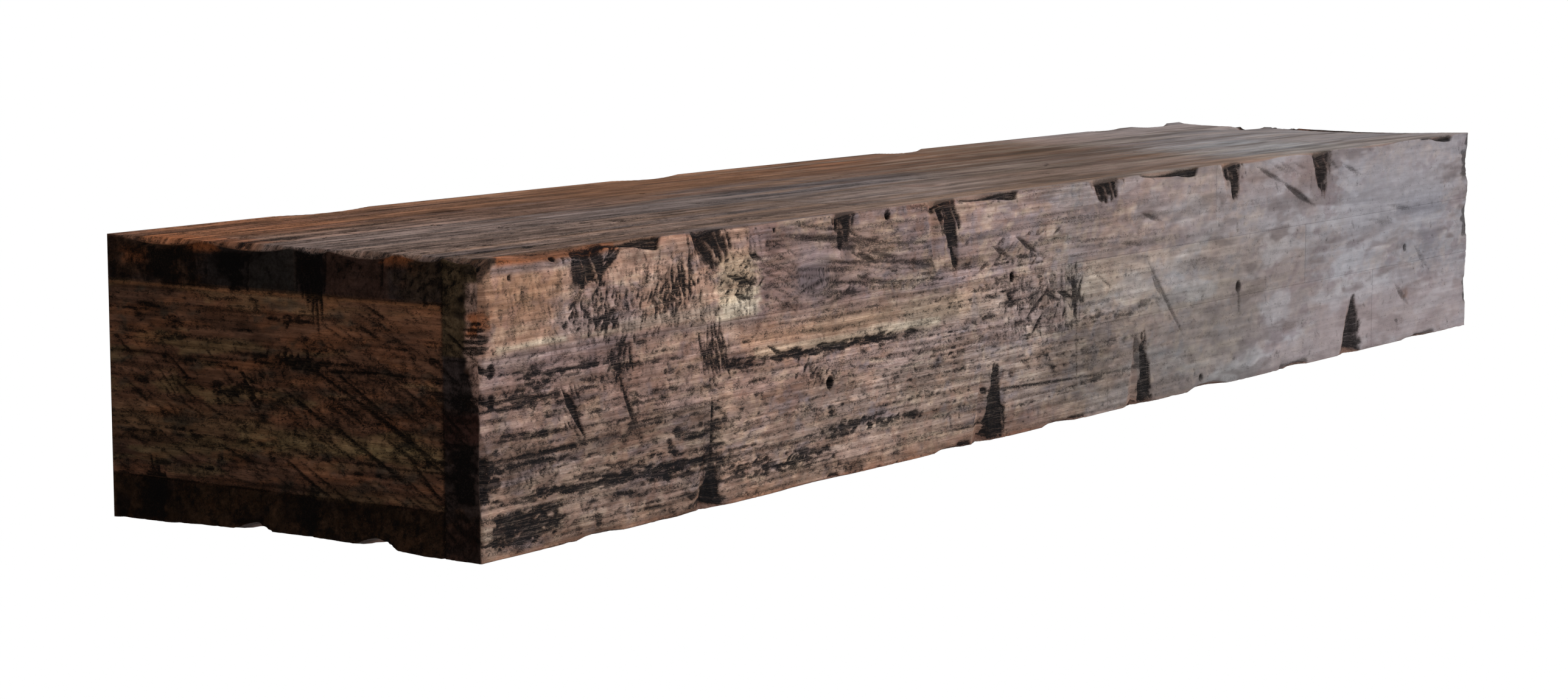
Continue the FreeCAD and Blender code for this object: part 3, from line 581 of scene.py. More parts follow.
def cut_front(face):
    """The tool marks, splits and wormholes of the front."""
    top = HEIGHT
    each(
        face.knot, (61, 148, 3.2, BROWN, 0.7), (300, 117, 9, shade(104, 94, 102), 0.35, 1.0),
        (334, 129, 5, shade(84, 74, 78), 0.5, 0.7),
    )
    for number in range(9):
        v, drop = 143 - 4.7 * number, 15 - number
        face.sweep([(330 + 2 * number + 88 * t, v - drop * (1 - math.exp(-3.2 * t))) for t in (
            0, 0.12, 0.25, 0.4, 0.58, 0.78, 1)], 1.5 - 0.05 * number, 0.3, 0.66 - 0.15 * (number % 3))
    for number in range(6):
        v = 143 - 6.3 * number
        face.sweep([(249 + 32 * t, v - 5 * t * t - 7 * t) for t in (0, 0.3, 0.6, 1)], 1.2, 0.3, 0.5)
    face.dashes(276, 326, 102, 122, 26, 9, 0.9, 62, 75, 0.3, 0.62, 30)
    each(face.knot, (1102, 71, 7, SLATE, 0.3, 1.4), (1105, 35, 4, BROWN, 0.6), (554, 81, 5, BROWN, 0.4))

    # Chops from the top arris: middle, tip, width, lean, how black, brown wood in it, how blunt
    each(
        face.chop, (90, 130, 29, -2, 0.9, 0.4, 0.15), (196, 130, 33, 7, 0.7, 0.8, 0.4),
        (331, 130, 19, -4, 0.74, 0.5, 0.5), (439, 108, 22, 12, 0.88, 0.4, 0.7),
        (637, 136, 34, 2, 0.66, 0.8, 0.4), (816, 125, 24, 4, 0.85, 0.5, 0.6),
        (956, 115, 30, 3, 0.82, 0.5, 0.8),
        arris=top, deep=0.9,
    )
    each(
        face.stroke, (118, 150, 101, 138), (114, 151, 102, 142), (116, 148, 104, 138),
        (110, 152, 106, 143), width=1.7, deep=0.8, black=0.9,
    )
    each(
        face.stroke, (208, 149, 213, 140), (213, 150, 217, 140), (201, 149, 208, 133),
        (448, 148, 454, 136), width=1.8, deep=0.7, black=0.8,
    )

    # Chops from the bottom arris, tips up
    each(
        face.chop, (197.2, 40, 24, 0, 1.0, 0.2, 1.7), (496, 51, 25, 3, 1.0, 0.2, 0.75),
        (692, 52, 21, -4, 0.76, 0.2, 0.75), (1011.6, 46, 32, 1, 0.95, 0.2, 0.75), deep=1.0, hairs=1.8,
    )
    each(
        face.stroke, (197.8, 34, 198.6, 61, 1.2, 0.5, 0.9, 0.4), (488, 31, 482, 33, 3, 0.5, 0.9),
        (686, 21, 676, 47, 8, 0.5, 0.6),
    )
    face.dashes(490, 509, 2, 27, 14, 20, 1.4, 4, 51, 0.5, 0.8, 4)

    # Chips along the top arris, thin at their left end, and orange wood in the first scoop
    each(
        face.colour, (14, 116, top - 4.4, top + 5, ORANGE * 0.8, 0.85, 1.8, 1.6),
        (144, 190, top - 2.4, top + 5, ORANGE * 0.8, 0.35, 1.4, 1),
        (395, 450, top - 3, top + 5, ORANGE, 0.3, 1.2, 1),
    )
    each(
        face.chip, (96, 151, 6.5), (452, 522, 5), (679, 762, 5.5), (1124, 1186, 4.5),
        edge=top, inward=-1,
    )

    # The near arris: black at the top corner, striped, then two hooks and a torn black patch
    corner = face.u - 1.05 * (face.v - 138) + 6 * (noise(face.u, face.v, 4, 3, 87, 3) - 0.5)
    corner = smooth(1.6, -1.6, corner) * smooth(137, 141, face.v)
    face.tint = mix(face.tint, shade(58, 46, 39), corner[..., None] * 0.92)
    face.stain(..., corner * 0.4)
    each(
        face.blot, (-20, 7, 30, 53, 0.95), (-20, 2, 64, 66, 0.6), (-20, 2, 8, 12, 0.6),
        (-20, 4, 148, 160, 0.9), deeper=0.6, soft=1.4, ragged=1.6,
    )
    for v, reach, width in (
        (119, 4, 0.8), (116, 6.5, 1.3), (113, 6, 1.0), (110.2, 7.5, 1.4), (107, 7, 1.0), (104.8, 5, 0.8),
    ):
        face.stroke(-3, v, reach, v + 0.4, width, 0.5, 1.0, 0.6)
    each(
        face.dashes, (4, 17, 30, 55, 30, 9, 1.3, 86, 52, 0.4, 0.95, 6),
        (-1, 8, 103, 122, 12, 6, 0.6, 84, 53, 0.3, 0.7, 10),
    )
    for v, drop in ((95.5, 3), (80, 3.4)):
        face.stroke(-2, v + drop * 0.6, 9.5, v - 1.0, 2.2, 0.8, 1.0, 0.2)
        face.hole(9.6, v, 5.2, 1.6)
        face.stroke(-3, v + 2 + drop, 1, v, 3, 0.6, 0.9, 0.2)
    # The far arris has dark spots of its own
    for v0, v1, reach in ((116, 140, 12), (71, 95, 10), (20, 40, 5), (142, 152, 6)):
        face.blot(LENGTH - reach, LENGTH + 20, v0, v1, deeper=0.5, soft=2.5)

    # Wormholes
    each(
        face.hole, (314, 56, 5.6, 5, 5), (374.2, 148, 4.4, 5), (517, 99.1, 4.6, 5),
        (825.2, 65.9, 6, 5, 22), (771, 8, 4.2, 5), (1102.9, 70.9, 4, 2), (258, 148, 1.8, 2),
        (61, 148.8, 3.6, 2), (25, 141, 2.4, 2),
    )

    # Gouges and scratches: from, to, width, depth, how black
    each(
        face.stroke, (849, 148, 896, 132, 2.6, 1.0, 0.75), (891, 134, 945, 113, 3.4, 1.4, 0.95),
        (866, 150, 910, 137, 1.6, 0.6, 0.6), (881, 150, 930, 134, 1.8, 0.6, 0.55),
        (901, 149, 939, 138, 1.6, 0.5, 0.5), (66, 82, 86, 53, 2.8, 0.9, 1.0),
        (71, 78, 80, 63, 2.8, 0.8, 1.0), (74, 63, 85, 47, 1.2, 0.4, 0.6),
        (116, 80, 130, 51, 1.8, 0.6, 0.9), (120, 73, 135, 47, 1.2, 0.4, 0.6),
        (691, 97, 745, 39, 2.6, 0.9, 0.62), (699, 85, 713, 69, 3.2, 0.8, 0.6),
        (251, 84, 270, 75, 1.8, 0.5, 0.8), (234, 136, 245, 132, 2.4, 0.7, 0.9),
        (213, 126, 239, 119, 2.4, 0.8, 1.0), (220, 115, 231, 112, 2, 0.6, 0.9),
        (343, 128, 364, 120, 2.6, 0.8, 0.9), (329, 134, 341, 129, 1.6, 0.5, 0.7),
        (521, 124, 549, 111, 2.6, 0.8, 0.75), (493, 120, 513, 112, 2.6, 0.8, 0.7),
        (534, 71, 562, 87, 2.2, 0.7, 0.8), (542, 61, 556, 73, 2.4, 0.7, 0.8),
        (511, 89, 522, 81, 2.6, 0.8, 0.85), (574, 85, 594, 79, 2.8, 0.9, 0.95),
        (559, 85, 576, 79, 2.4, 0.7, 0.8), (580, 67, 586, 75, 2, 0.5, 0.8),
        (591, 99, 600, 59, 2.6, 0.7, 0.75), (585, 95, 593, 87, 2.4, 0.6, 0.7),
        (682, 127, 712, 119, 2.2, 0.7, 0.75), (986, 142, 1025, 130, 2.2, 0.7, 0.7),
        (961, 149, 986, 136, 2.0, 0.6, 0.7), (1069, 105, 1117, 99, 3.2, 0.6, 0.5),
        (1032, 97, 1080, 91, 2.6, 0.5, 0.45), (1084, 46, 1111, 26, 4, 0.7, 0.5),
        (1119, 71, 1148, 50, 4.2, 0.6, 0.4), (653, 109, 692, 105, 2, 0.4, 0.6),
        (613, 97, 653, 77, 1.8, 0.4, 0.5), (13, 80.2, 62, 78.1, 1.6, 0.5, 0.9),
        (18, 6, 61, 10, 1.2, 0.4, 0.9), (0, 8, 18, 10, 1.4, 0.4, 0.9),
        point=0.8,
    )

    # Clusters of cuts across the grain
    each(
        face.dashes, (105, 193, 102, 135, 80, 7, 1.0, 16, 61, 0.35, 0.85),
        (156, 183, 114, 139, 12, 16, 1.7, -6, 62, 0.5, 1.0, 6),
        (69, 100, 106, 122, 26, 7, 1.8, 20, 63, 0.4, 0.95, 40),
        (92, 122, 104, 120, 14, 9, 1.7, 30, 89, 0.4, 1.0, 24),
        (8, 80, 110, 148, 70, 4, 0.8, 50, 121, 0.25, 0.5, 40),
    )
    # The butt joint past the middle and the glue line to its left and right
    each(
        face.stroke, (597.5, 101, 598.5, 60, 1.1, 0.3, 0.8, 0.6),
        (598.5, 61, 599, 22, 1.0, 0.3, 0.62, 0.6), (497, 31, 602, 27, 1.1, 0.3, 0.78, 0.3),
        (600, 27, 702, 24, 1.1, 0.3, 0.74, 0.5),
    )
    # More clusters of cuts
    each(
        face.dashes, (102, 129, 76, 102, 46, 8, 1.2, 8, 64, 0.4, 0.9),
        (187, 220, 73, 100, 46, 12, 1.2, -14, 65, 0.4, 0.9),
        (208, 245, 112, 134, 30, 8, 1.1, 62, 66, 0.4, 0.85),
        (62, 87, 61, 84, 14, 12, 1.0, -28, 67, 0.35, 0.75),
        (280, 311, 55, 73, 26, 6, 1.3, 40, 68, 0.3, 0.8),
        (509, 598, 61, 101, 40, 8, 1.4, 60, 69, 0.5, 0.75, 45),
        (453, 573, 106, 132, 30, 14, 1.5, 68, 70, 0.4, 0.65, 12),
        (934, 963, 118, 150, 8, 20, 1.6, 12, 71, 0.5, 0.7, 10),
        (553, 771, 61, 131, 40, 9, 1.3, 74, 72, 0.3, 0.5, 20),
        (24, 62, 78, 94, 20, 9, 1.1, 86, 73, 0.3, 0.8, 6),
        (12, 239, 104, 145, 60, 5, 1.1, 20, 74, 0.25, 0.6, 60),
        # The black line under the amber band, and blots in the ink below it
        (214, 400, 74.4, 78.6, 70, 17, 1.7, 88, 76, 0.5, 1.0, 5),
        (40, 196, 25, 32, 60, 16, 1.5, 88, 77, 0.4, 0.95, 7),
        (14, 64, 6, 22, 60, 10, 2.0, 84, 78, 0.4, 1.0, 24),
        (206, 318, 10, 21, 60, 9, 1.5, 84, 79, 0.4, 0.9, 16),
        (306, 386, 25, 32, 40, 9, 1.6, 84, 80, 0.4, 0.9, 14),
        (78, 122, 116, 131, 30, 6, 1.2, 6, 85, 0.4, 0.85, 20),
        (154, 182, 108, 128, 34, 6, 1.4, 0, 86, 0.4, 0.95, 20),
        (588, 607, 62, 102, 26, 11, 2.0, 6, 87, 0.5, 0.9, 10),
    )
    # Nicks along the bottom arris
    for u0, u1 in ((453, 468), (589, 609), (891, 935), (1122, 1160), (311, 323)):
        face.blot(u0, u1, -5, 3.0, deeper=0.8, ragged=1.5)


def paint_top():
    """The top, pale and furrowed at the front and orange-brown at the back: v is from the front."""
    tan, grey, back = shade(135, 112, 99), shade(120, 103, 96), shade(137, 98, 73)
    face = Canvas(LENGTH, DEPTH, 0.7, 20, tan)
    tints = {}
    for number in (1, 2, 3):
        tints[f"top_front_stave_{number}"] = mix(tan, SILVER, 0.12 * number)
        tints[f"top_back_stave_{number}"] = mix(back, SILVER, 0.1 * number)
        tints[f"top_mid_front_stave_{number}"] = mix(grey, SILVER, 0.1 * number)
        tints[f"top_mid_back_stave_{number}"] = mix(grey, back, 0.2 * (3 - number))
    tint_staves(face, "top_", tints, 0, 1)
    face.colour(-10, LENGTH + 10, -10, BOARD, tan, 1, 0.4)
    each(
        face.patches, (BROWN * 0.8, 0.25, 260, 14, 41, 0.6), (SLATE * 0.75, 0.2, 240, 16, 43, 0.5),
        (mix(AMBER, tan, 0.5) * 0.9, 0.15, 190, 10, 45, 0.4),
    )
    each(
        face.colour, (-10, 700, 186, 260, back, 0.6, 22, 8),
        (20, 190, 60, 170, shade(128, 113, 107), 0.5, 30, 10),
    )
    # A dark band crosses the middle, aslant
    centre = np.interp(face.u, (380, 460, 510, 605, 706, 800), (150, 136, 125, 119, 89, 70))
    band = smooth(17, 4, np.abs(face.v - centre + 14 * (noise(face.u, face.v, 120, 9, 88, 3) - 0.5)))
    band = band * smooth(330, 430, face.u) * smooth(880, 740, face.u)
    face.tint = mix(face.tint, shade(84, 73, 73), band[..., None] * 0.62)
    face.streak += band * 0.3
    each(
        face.colour, (-10, 131, 188, 260, ORANGE, 0.22, 18, 8), (-10, 23, 154, 230, ORANGE, 0.45, 6, 6),
        (330, 420, 232, 246, mix(UMBER, back, 0.3), 0.6, 12, 5),
    )
    # Painted sheen: the far part of the top greys towards silver, as pale light reflected at a low angle
    face.tint = mix(face.tint, SILVER * 0.96, smooth(820, 1100, face.u)[..., None] * 0.55)
    face.tint *= mix(1.3, 1.0, smooth(110, 270, face.u))[..., None]
    each(
        face.patches, (shade(92, 80, 73), 0.34, 130, 9, 89, 0.65, smooth(420, 700, face.u)),
        (shade(158, 146, 139), 0.26, 140, 8, 90, 0.55, smooth(420, 700, face.u)),
    )
    each(
        face.fade, (270, 480, 20, 150, (0.86, 0.86, 0.86), 40, 8),
        (860, 1040, -20, 125, (1.16, 1.28, 1.34), 30, 8),
        (780, 930, 150, DEPTH + 20, (0.8, 0.82, 0.8), 30, 8),
        (590, 900, 50, DEPTH + 20, (0.78, 0.69, 0.61), 60, 10),
        (530, 680, -20, 60, (0.85, 0.81, 0.77), 40, 8),
        (330, 590, 150, DEPTH + 20, (0.92, 0.86, 0.78), 40, 8),
    )
    face.calm += 0.45 * smooth(120, 420, face.u) + 0.45 * smooth(420, 900, face.u)
    face.streak += mix(0.26, 0.38, smooth(110, 80, face.v))
    face.streak *= mix(0.7, 1.0, smooth(900, 350, face.u))
    each(
        face.density, (0, 330, 6, 12, 0.7), (60, 420, 18, 30, 0.62), (0, 288, 59, 67, 0.64),
        (151, 432, 73, 82, 0.66),
        (335, 597, 104, 115, 0.95), (388, 654, 118, 132, 0.66), (650, 848, 141, 160, 0.6),
        (0, 131, 153, 168, 0.62), (26, 177, 205, 216, 0.6), (520, 980, 226, 240, 0.55),
        soft=6, ragged=5,
    )
    each(face.hole, (149, 105, 5), (142, 146, 5), (660, 60, 4.4), (882, 111, 4.8), (379, 183, 4.2))
    each(face.knot, (525, 73, 9, BROWN, 0.6), (805, 187, 11, BROWN, 0.6), (214, 199, 7, RUST, 0.6))
    face.colour(14, 116, -5, 3.6, ORANGE * 0.8, 0.75, 1.5, 1.5)
    for u, wide in ((90, 27), (196, 30), (331, 18), (439, 21), (637, 31), (816, 22), (956, 27)):
        face.blot(u - wide / 2, u + wide / 2, -6, 2.6, soft=1.2, ragged=1.4)
    face.stroke(250, 38, 300, 9, 1.8, 0.6, 0.85)
    face.colour(-6, 14, -6, 9, shade(62, 50, 42), 0.8, 2.5, 3)
    each(face.chip, (96, 151, 4), (452, 522, 3.5), (679, 762, 4), (1124, 1186, 4), edge=0, inward=1)
    each(
        face.dashes, (16, 61, 75, 240, 26, 12, 1.4, 30, 81, 0.4, 0.7, 40),
        (278, 1107, 20, 240, 40, 16, 1.4, 60, 82, 0.5, 0.55, 30),
    )
    each(
        face.stroke, (517, 145, 591, 168), (937, 54, 1020, 33), (201, 71, 250, 83), (715, 92, 752, 113),
        width=2.2, deep=0.8, black=0.75, point=0.8,
    )
    # The far arris dips where it was worn, most of all in one notch
    each(face.dip, (LENGTH, 120, 110, 130, 2.6), (LENGTH, 189, 90, 15, 3.4))
    # The ends and the back are stained darker and torn
    for u0, u1 in ((-20, 2), (LENGTH - 2, LENGTH + 20)):
        face.blot(u0, u1, -20, DEPTH + 20, 0.6)
    face.blot(-20, LENGTH + 20, DEPTH - 1.5, DEPTH + 20, 0.4, 0, 1.5, 2)
    face.weather(0.5, 0.2, 1.9, 2.8, 0.56)
    return face


def paint_bottom():
    """The underside, planed flatter and stained evenly."""
    face = Canvas(LENGTH, DEPTH, 1.2, 60, BROWN)
    tint_staves(face, "bottom_", dict.fromkeys(boxes_of("bottom_"), mix(BROWN, RUST, 0.4)), 0, 1)
    face.colour(-10, LENGTH + 10, -10, BOARD, mix(BROWN, PINK, 0.4), 1, 0.6)
    face.wash(RUST, SLATE, 150, 14, 61, 0.4)
    for u0, u1 in ((-10, 10), (LENGTH - 10, LENGTH + 10)):
        face.colour(u0, u1, -10, DEPTH + 10, SOOT, 0.95, 4, 3)
    face.streak += 0.42
    each(face.hole, (300, 80, 5), (760, 160, 5), (1040, 60, 5))
    face.dashes(40, 1180, 20, 240, 60, 18, 2.0, 50, 91, 0.5, 0.7, 40)
    face.weather(0.45, 0.2)
    return face


def paint_end(seed, lighter):
    """A stained end: three boards lying level between the dark ends of the long boards. u runs from
    the wall and v from the underside."""
    face = Canvas(DEPTH, HEIGHT, 0.5, seed, WALNUT)
    each(
        face.patches, (UMBER, 0.35, 40, 7, seed + 1, 0.7), (OLIVE, 0.32, 40, 8, seed + 3, 0.55),
        (shade(98, 62, 42), 0.2, 34, 7, seed + 5, 0.6),
    )
    each(
        face.colour, (90, 232, 46, 57, OLIVE, 0.7, 5, 4), (0, 110, 46, 62, OLIVE, 0.3, 8, 4),
        (150, 232, 24, 43, shade(82, 54, 39), 0.6, 6, 3),
        (60, 232, 112, 128, shade(94, 62, 43), 0.5, 8, 4),
    )
    each(
        face.patches, (shade(112, 70, 44), 0.2, 22, 6, seed + 7, 0.45),
        (shade(50, 46, 38), 0.14, 14, 6, seed + 9, 0.6),
    )
    face.tint = np.clip(face.tint * np.array((1.16, 1.24, 1.38), np.float32) * lighter, 0, 1)
    for v in (43.3, 91):
        face.joint(0, v, LIP, v, 0.6, 0.2, int(v))
    # End grain of the top, bottom and front boards
    each(
        face.colour, (-10, DEPTH + 10, LID, HEIGHT + 10, shade(45, 37, 36) * lighter, 1, 0.35),
        (154, 191, LID, HEIGHT + 10, shade(62, 45, 37) * lighter, 0.85, 2, 1),
        (0, 62, LID, HEIGHT + 10, shade(66, 46, 33) * lighter, 0.7, 8, 6),
        (204, 232, LID, HEIGHT + 10, shade(58, 46, 34) * lighter, 0.7, 8, 5),
        (-10, DEPTH + 10, -10, BOARD, shade(42, 30, 22) * lighter, 1, 0.35),
        (50, 110, 8, BOARD, shade(60, 43, 30) * lighter, 0.6, 14, 6),
        (150, 230, 4, BOARD, shade(52, 37, 27) * lighter, 0.6, 14, 6),
        (LIP, DEPTH + 10, -10, 76, shade(42, 34, 32) * lighter, 1, 0.35),
        (LIP, DEPTH + 10, 76, 103, shade(52, 44, 43) * lighter, 1, 0.35),
        (LIP, DEPTH + 10, 103, HEIGHT + 10, shade(66, 54, 40) * lighter, 1, 0.35),
        (LIP, DEPTH + 10, 58, 74, shade(54, 32, 27) * lighter, 0.6, 4, 4),
        (LIP, DEPTH + 10, -10, 20, shade(58, 38, 30) * lighter, 0.6, 4, 4),
    )
    each(
        face.joint, (0, LID, LIP, LID, 0.7, 0.45, 1), (0, BOARD, LIP, BOARD, 0.7, 0.45, 2),
        (LIP, 0, LIP, HEIGHT, 0.7, 0.4, 3), (LIP, 59, 254, 59, 0.6, 0.3, 4),
        (LIP, 101, 254, 101, 0.6, 0.3, 5),
    )
    middle = smooth(20, 26, face.v) * smooth(130, 126, face.v) * smooth(233, 229, face.u)
    each(
        face.patches, (shade(20, 17, 17) * lighter, 0.24, 15, 10, seed + 11, 0.7, 1 - middle),
        (shade(62, 42, 30) * lighter, 0.16, 12, 8, seed + 13, 0.5, 1 - middle),
    )
    face.streak += 0.18 + 0.17 * middle
    each(
        face.density, (105, 232, 86, 96, 0.58), (100, 160, 90, 97, 0.72), (70, 130, 70, 80, 0.78),
        (0, 90, 68, 80, 0.48), (80, 232, 44, 52, 0.6), (120, 232, 98, 108, 0.5),
        (115, 142, 112, 119, 0.85), (0, 130, 28, 40, 0.55), (75, 108, 46, 54, 0.75),
        (0, 60, 96, 120, 0.5),
        soft=5, ragged=4,
    )
    each(
        face.density, (100, 232, 44, 100, 0.38, "speck", 12, 6), (0, DEPTH, 0, BOARD, 0.6, "speck", 3),
        (0, 130, LID, HEIGHT, 0.6, "speck", 3), (130, DEPTH, LID, HEIGHT, 0.4, "speck", 3),
    )
    return face


def paint_left():
    """The near end, with the photograph's saw scratches, the chop and the dark scallops above."""
    face = paint_end(30, 1.0)
    # Clean facets between the scallops of the top arris, each with a painted highlight along its edge
    for u0, u1, tone in (
        (72, 101, shade(30, 27, 26)), (101, 134, shade(33, 31, 29)), (153, 196, shade(52, 37, 32)),
    ):
        face.colour(u0, u1, LID, HEIGHT + 10, tone, 0.8, 0.8)
        face.colour(u1 - 1.4, u1 - 0.2, 130, HEIGHT + 10, shade(60, 49, 43), 0.5, 0.5)
        at = face.window(u0, u1, LID, HEIGHT)[0]
        face.speck[at] *= 0.3
        face.streak[at] *= 0.5
    each(
        face.hatch, (120, 240, 20, 92, -29, 0.46, 21, 34, 1.2),
        (150, 236, 60, 126, -24, 0.36, 22, 26, 1.2), (0, 120, 24, 70, -22, 0.36, 23, 34, 1.2),
        (0, 90, 60, 100, -34, 0.34, 24, 22, 1.2), (228, 260, 0, 120, -36, 0.46, 25, 24, 1.2),
    )
    # Saw scratches that fall from the wall side to the front
    for u0, v0, u1, v1, width, black in (
        (150, 88, 232, 45, 2.2, 1.0), (128, 97, 178, 74, 1.8, 0.95), (158, 90, 200, 66, 1.8, 1.0),
        (176, 76, 228, 48, 1.6, 0.9), (186, 72, 230, 42, 1.4, 0.8), (198, 58, 232, 26, 1.6, 0.85),
        (206, 48, 238, 20, 1.4, 0.8), (160, 100, 222, 72, 1.3, 0.7), (40, 92, 58, 78, 1.6, 0.95),
        (34, 84, 50, 66, 1.4, 0.8), (44, 80, 62, 68, 1.2, 0.7), (14, 60, 70, 30, 1.4, 0.7),
        (20, 46, 76, 22, 1.3, 0.7), (60, 48, 110, 40, 1.2, 0.65), (74, 42, 140, 34, 1.3, 0.65),
        (170, 122, 205, 110, 1.4, 0.7), (180, 116, 230, 98, 1.2, 0.6),
    ):
        face.stroke(u0, v0, u1, v1, width * 0.55, 0.5, black * 0.85, 0.8)
    each(
        face.dashes, (130, 232, 44, 96, 60, 20, 0.7, 120, 101, 0.3, 0.7, 5),
        (78, 124, 68, 84, 40, 9, 1.4, 118, 102, 0.35, 0.9, 14),
        (114, 136, 111, 118, 16, 4, 1.6, 70, 113, 0.35, 0.8, 30),
        (20, 70, 60, 96, 30, 13, 0.8, 128, 103, 0.3, 0.7, 10),
        (0, 150, 24, 60, 30, 22, 0.8, 108, 104, 0.3, 0.6, 8),
        (150, 230, 100, 126, 30, 14, 0.8, 112, 105, 0.3, 0.6, 10),
        (104, 161, 89, 99, 34, 8, 1.0, 10, 112, 0.3, 0.9, 10),
    )
    face.tint *= mix(0.94, 1.2, smooth(50, 230, face.u))[..., None]
    face.fade(-10, 225, 22, 50, (0.76, 0.79, 0.84), 8, 5)
    # The chop with fine upright cuts
    face.chop(142.5, 124, 16, 3, blunt=0.2, arris=HEIGHT, hairs=0.9)
    for u, v0, v1 in (
        (138, 150, 120), (141.5, 150, 112), (145, 150, 107), (148, 148, 114), (135, 146, 126),
    ):
        face.stroke(u, v0, u + 2.5 + (v0 - v1) * 0.03, v1, 0.6 + (v1 - 105) * 0.05, 0.7, 0.95, 0.7)
    # Black cuts and torn spots in the dark strips
    each(
        face.blot, (80, 98, 136, 149), (86, 96, 128, 138), (30, 50, 130, 148), (22, 36, 0, 26),
        (88, 108, 0, 8),
        (184, 200, 0, 6), (132, 146, 4, 24), (236, 250, 28, 58), (236, 250, 74, 86),
        deeper=0.4, soft=3, ragged=4,
    )
    each(
        face.dashes, (22, 40, 0, 30, 24, 22, 1.4, -6, 106, 0.5, 1.0, 8),
        (132, 146, 0, 26, 16, 20, 1.2, 4, 107, 0.4, 0.9, 6),
        (0, 60, 128, 150, 60, 8, 1.4, 70, 108, 0.35, 0.8, 40),
        (196, 250, 128, 152, 40, 8, 1.2, 60, 109, 0.35, 0.8, 30),
        (158, 178, 138, 150, 9, 4, 0.9, 20, 110, 0.3, 0.8, 20),
        (230, 254, 60, 100, 24, 12, 1.2, 118, 111, 0.3, 0.6, 12),
    )
    # Orange wood shows where the scallops of the top arris meet
    for u0, u1, v0, v1, share in (
        (58, 78, 147.5, 160, 0.8), (193, 210, 146, 160, 0.7), (10, 26, 138, 147, 0.4),
    ):
        face.colour(u0, u1, v0, v1, END_ORANGE, share, 2.5, 2.5)
    # Facets of the scallops
    each(
        face.stroke, (101, 152, 99.5, 130), (135, 152, 133.5, 129), (154, 152, 152.5, 129),
        (192, 152, 190.5, 131), width=1.2, deep=0.5, black=0.7, point=0.4,
    )
    face.dashes(156, 176, 140, 150, 22, 4, 0.9, 20, 114, 0.3, 0.8, 24)
    each(
        # A painted highlight: a thin bright line along the end panel's top edge, under the top board's end
        face.colour, (0, 230, 126.2, 127.8, shade(120, 82, 56), 0.75, 0.6),
        # The hewn near arris is as pale as the front above its hooks
        (245.5, 262, 98, 140, mix(PINK, TAN, 0.5), 0.95, 1.2, 1.2),
        (246.5, 262, 113, 124, ORANGE, 0.85, 2, 2),
        (249, 262, 80, 98, mix(PINK, BROWN, 0.3), 0.9, 1.0, 1.0),
    )
    for v, reach in ((119, 9), (116, 12), (113, 11), (110.2, 13), (107, 12), (104.8, 10)):
        face.stroke(256 - reach, v + 0.8, 257, v, 1.3, 0.4, 0.95, 0.5)
    face.weather(0.4, 0.22, 1.05)
    return face


def paint_right():
    """The far end, which the photograph doesn't show: stained like the near one, with its own marks."""
    face = paint_end(50, 1.15)
    each(
        face.hatch, (20, 150, 24, 100, -26, 0.5, 21, 36, 1.4),
        (140, 236, 60, 126, -22, 0.42, 22, 26, 1.4),
    )
    for u0, v0, u1, v1, width, black in (
        (40, 96, 120, 60, 1.8, 0.9), (60, 98, 110, 74, 1.4, 0.8), (100, 70, 170, 40, 1.4, 0.8),
        (150, 110, 210, 84, 1.6, 0.8), (20, 60, 60, 34, 1.2, 0.7), (180, 60, 226, 36, 1.4, 0.8),
    ):
        face.stroke(u0, v0, u1, v1, width, 0.5, black, 0.8)
    each(
        face.dashes, (20, 220, 40, 110, 90, 20, 1.0, 116, 121, 0.3, 0.6, 8),
        (60, 200, 60, 100, 40, 9, 1.4, 20, 122, 0.35, 0.8, 16),
    )
    face.chop(96, 118, 20, -3, blunt=0.5, arris=HEIGHT, hairs=1.0)
    face.chop(186, 30, 22, 2, hairs=1.4)
    each(
        face.blot, (20, 60, 132, 150), (150, 190, 130, 148), (236, 252, 110, 140), (60, 84, 0, 14),
        deeper=0.4, soft=3, ragged=4,
    )
    each(
        face.dashes, (0, 250, 130, 150, 60, 8, 1.3, 60, 123, 0.35, 0.8, 30),
        (0, 250, 0, 24, 50, 9, 1.3, 60, 124, 0.35, 0.8, 30),
    )
    each(face.hole, (70, 70, 4.6), (176, 96, 4.2))
    face.knot(128, 84, 8, UMBER, 0.7)
    each(
        face.colour, (104, 118, 145, 153), (176, 190, 144, 153), (228, 240, 146, 153),
        tint=END_ORANGE, share=0.8, soft=2, ragged=2,
    )
    face.weather(0.4, 0.22, 1.2)
    return face


def paint_back():
    """The edges that meet the wall: bare sawn wood with stain run over its outer rims."""
    face = Canvas(LENGTH, HEIGHT, 1.0, 70, shade(150, 114, 80))
    face.wash(shade(166, 130, 94), shade(128, 94, 66), 90, 7, 71, 0.6)
    rim = np.minimum.reduce([face.u, LENGTH - face.u, face.v, HEIGHT - face.v])
    spill = smooth(7, 1, rim + (noise(face.u, face.v, 16, 9, 73, 3) - 0.5) * 12)[..., None]
    face.tint = mix(face.tint, UMBER, spill * 0.9)
    face.streak += 0.3
    face.dashes(0, LENGTH, 0, HEIGHT, 260, 18, 0.9, 20, 131, 0.25, 0.35, 8)
    face.weather(0.15, 0.12)
    return face


CANVASES = {
    "front": paint_front(), "top": paint_top(), "bottom": paint_bottom(),
    "left": paint_left(), "right": paint_right(), "back": paint_back(),
}

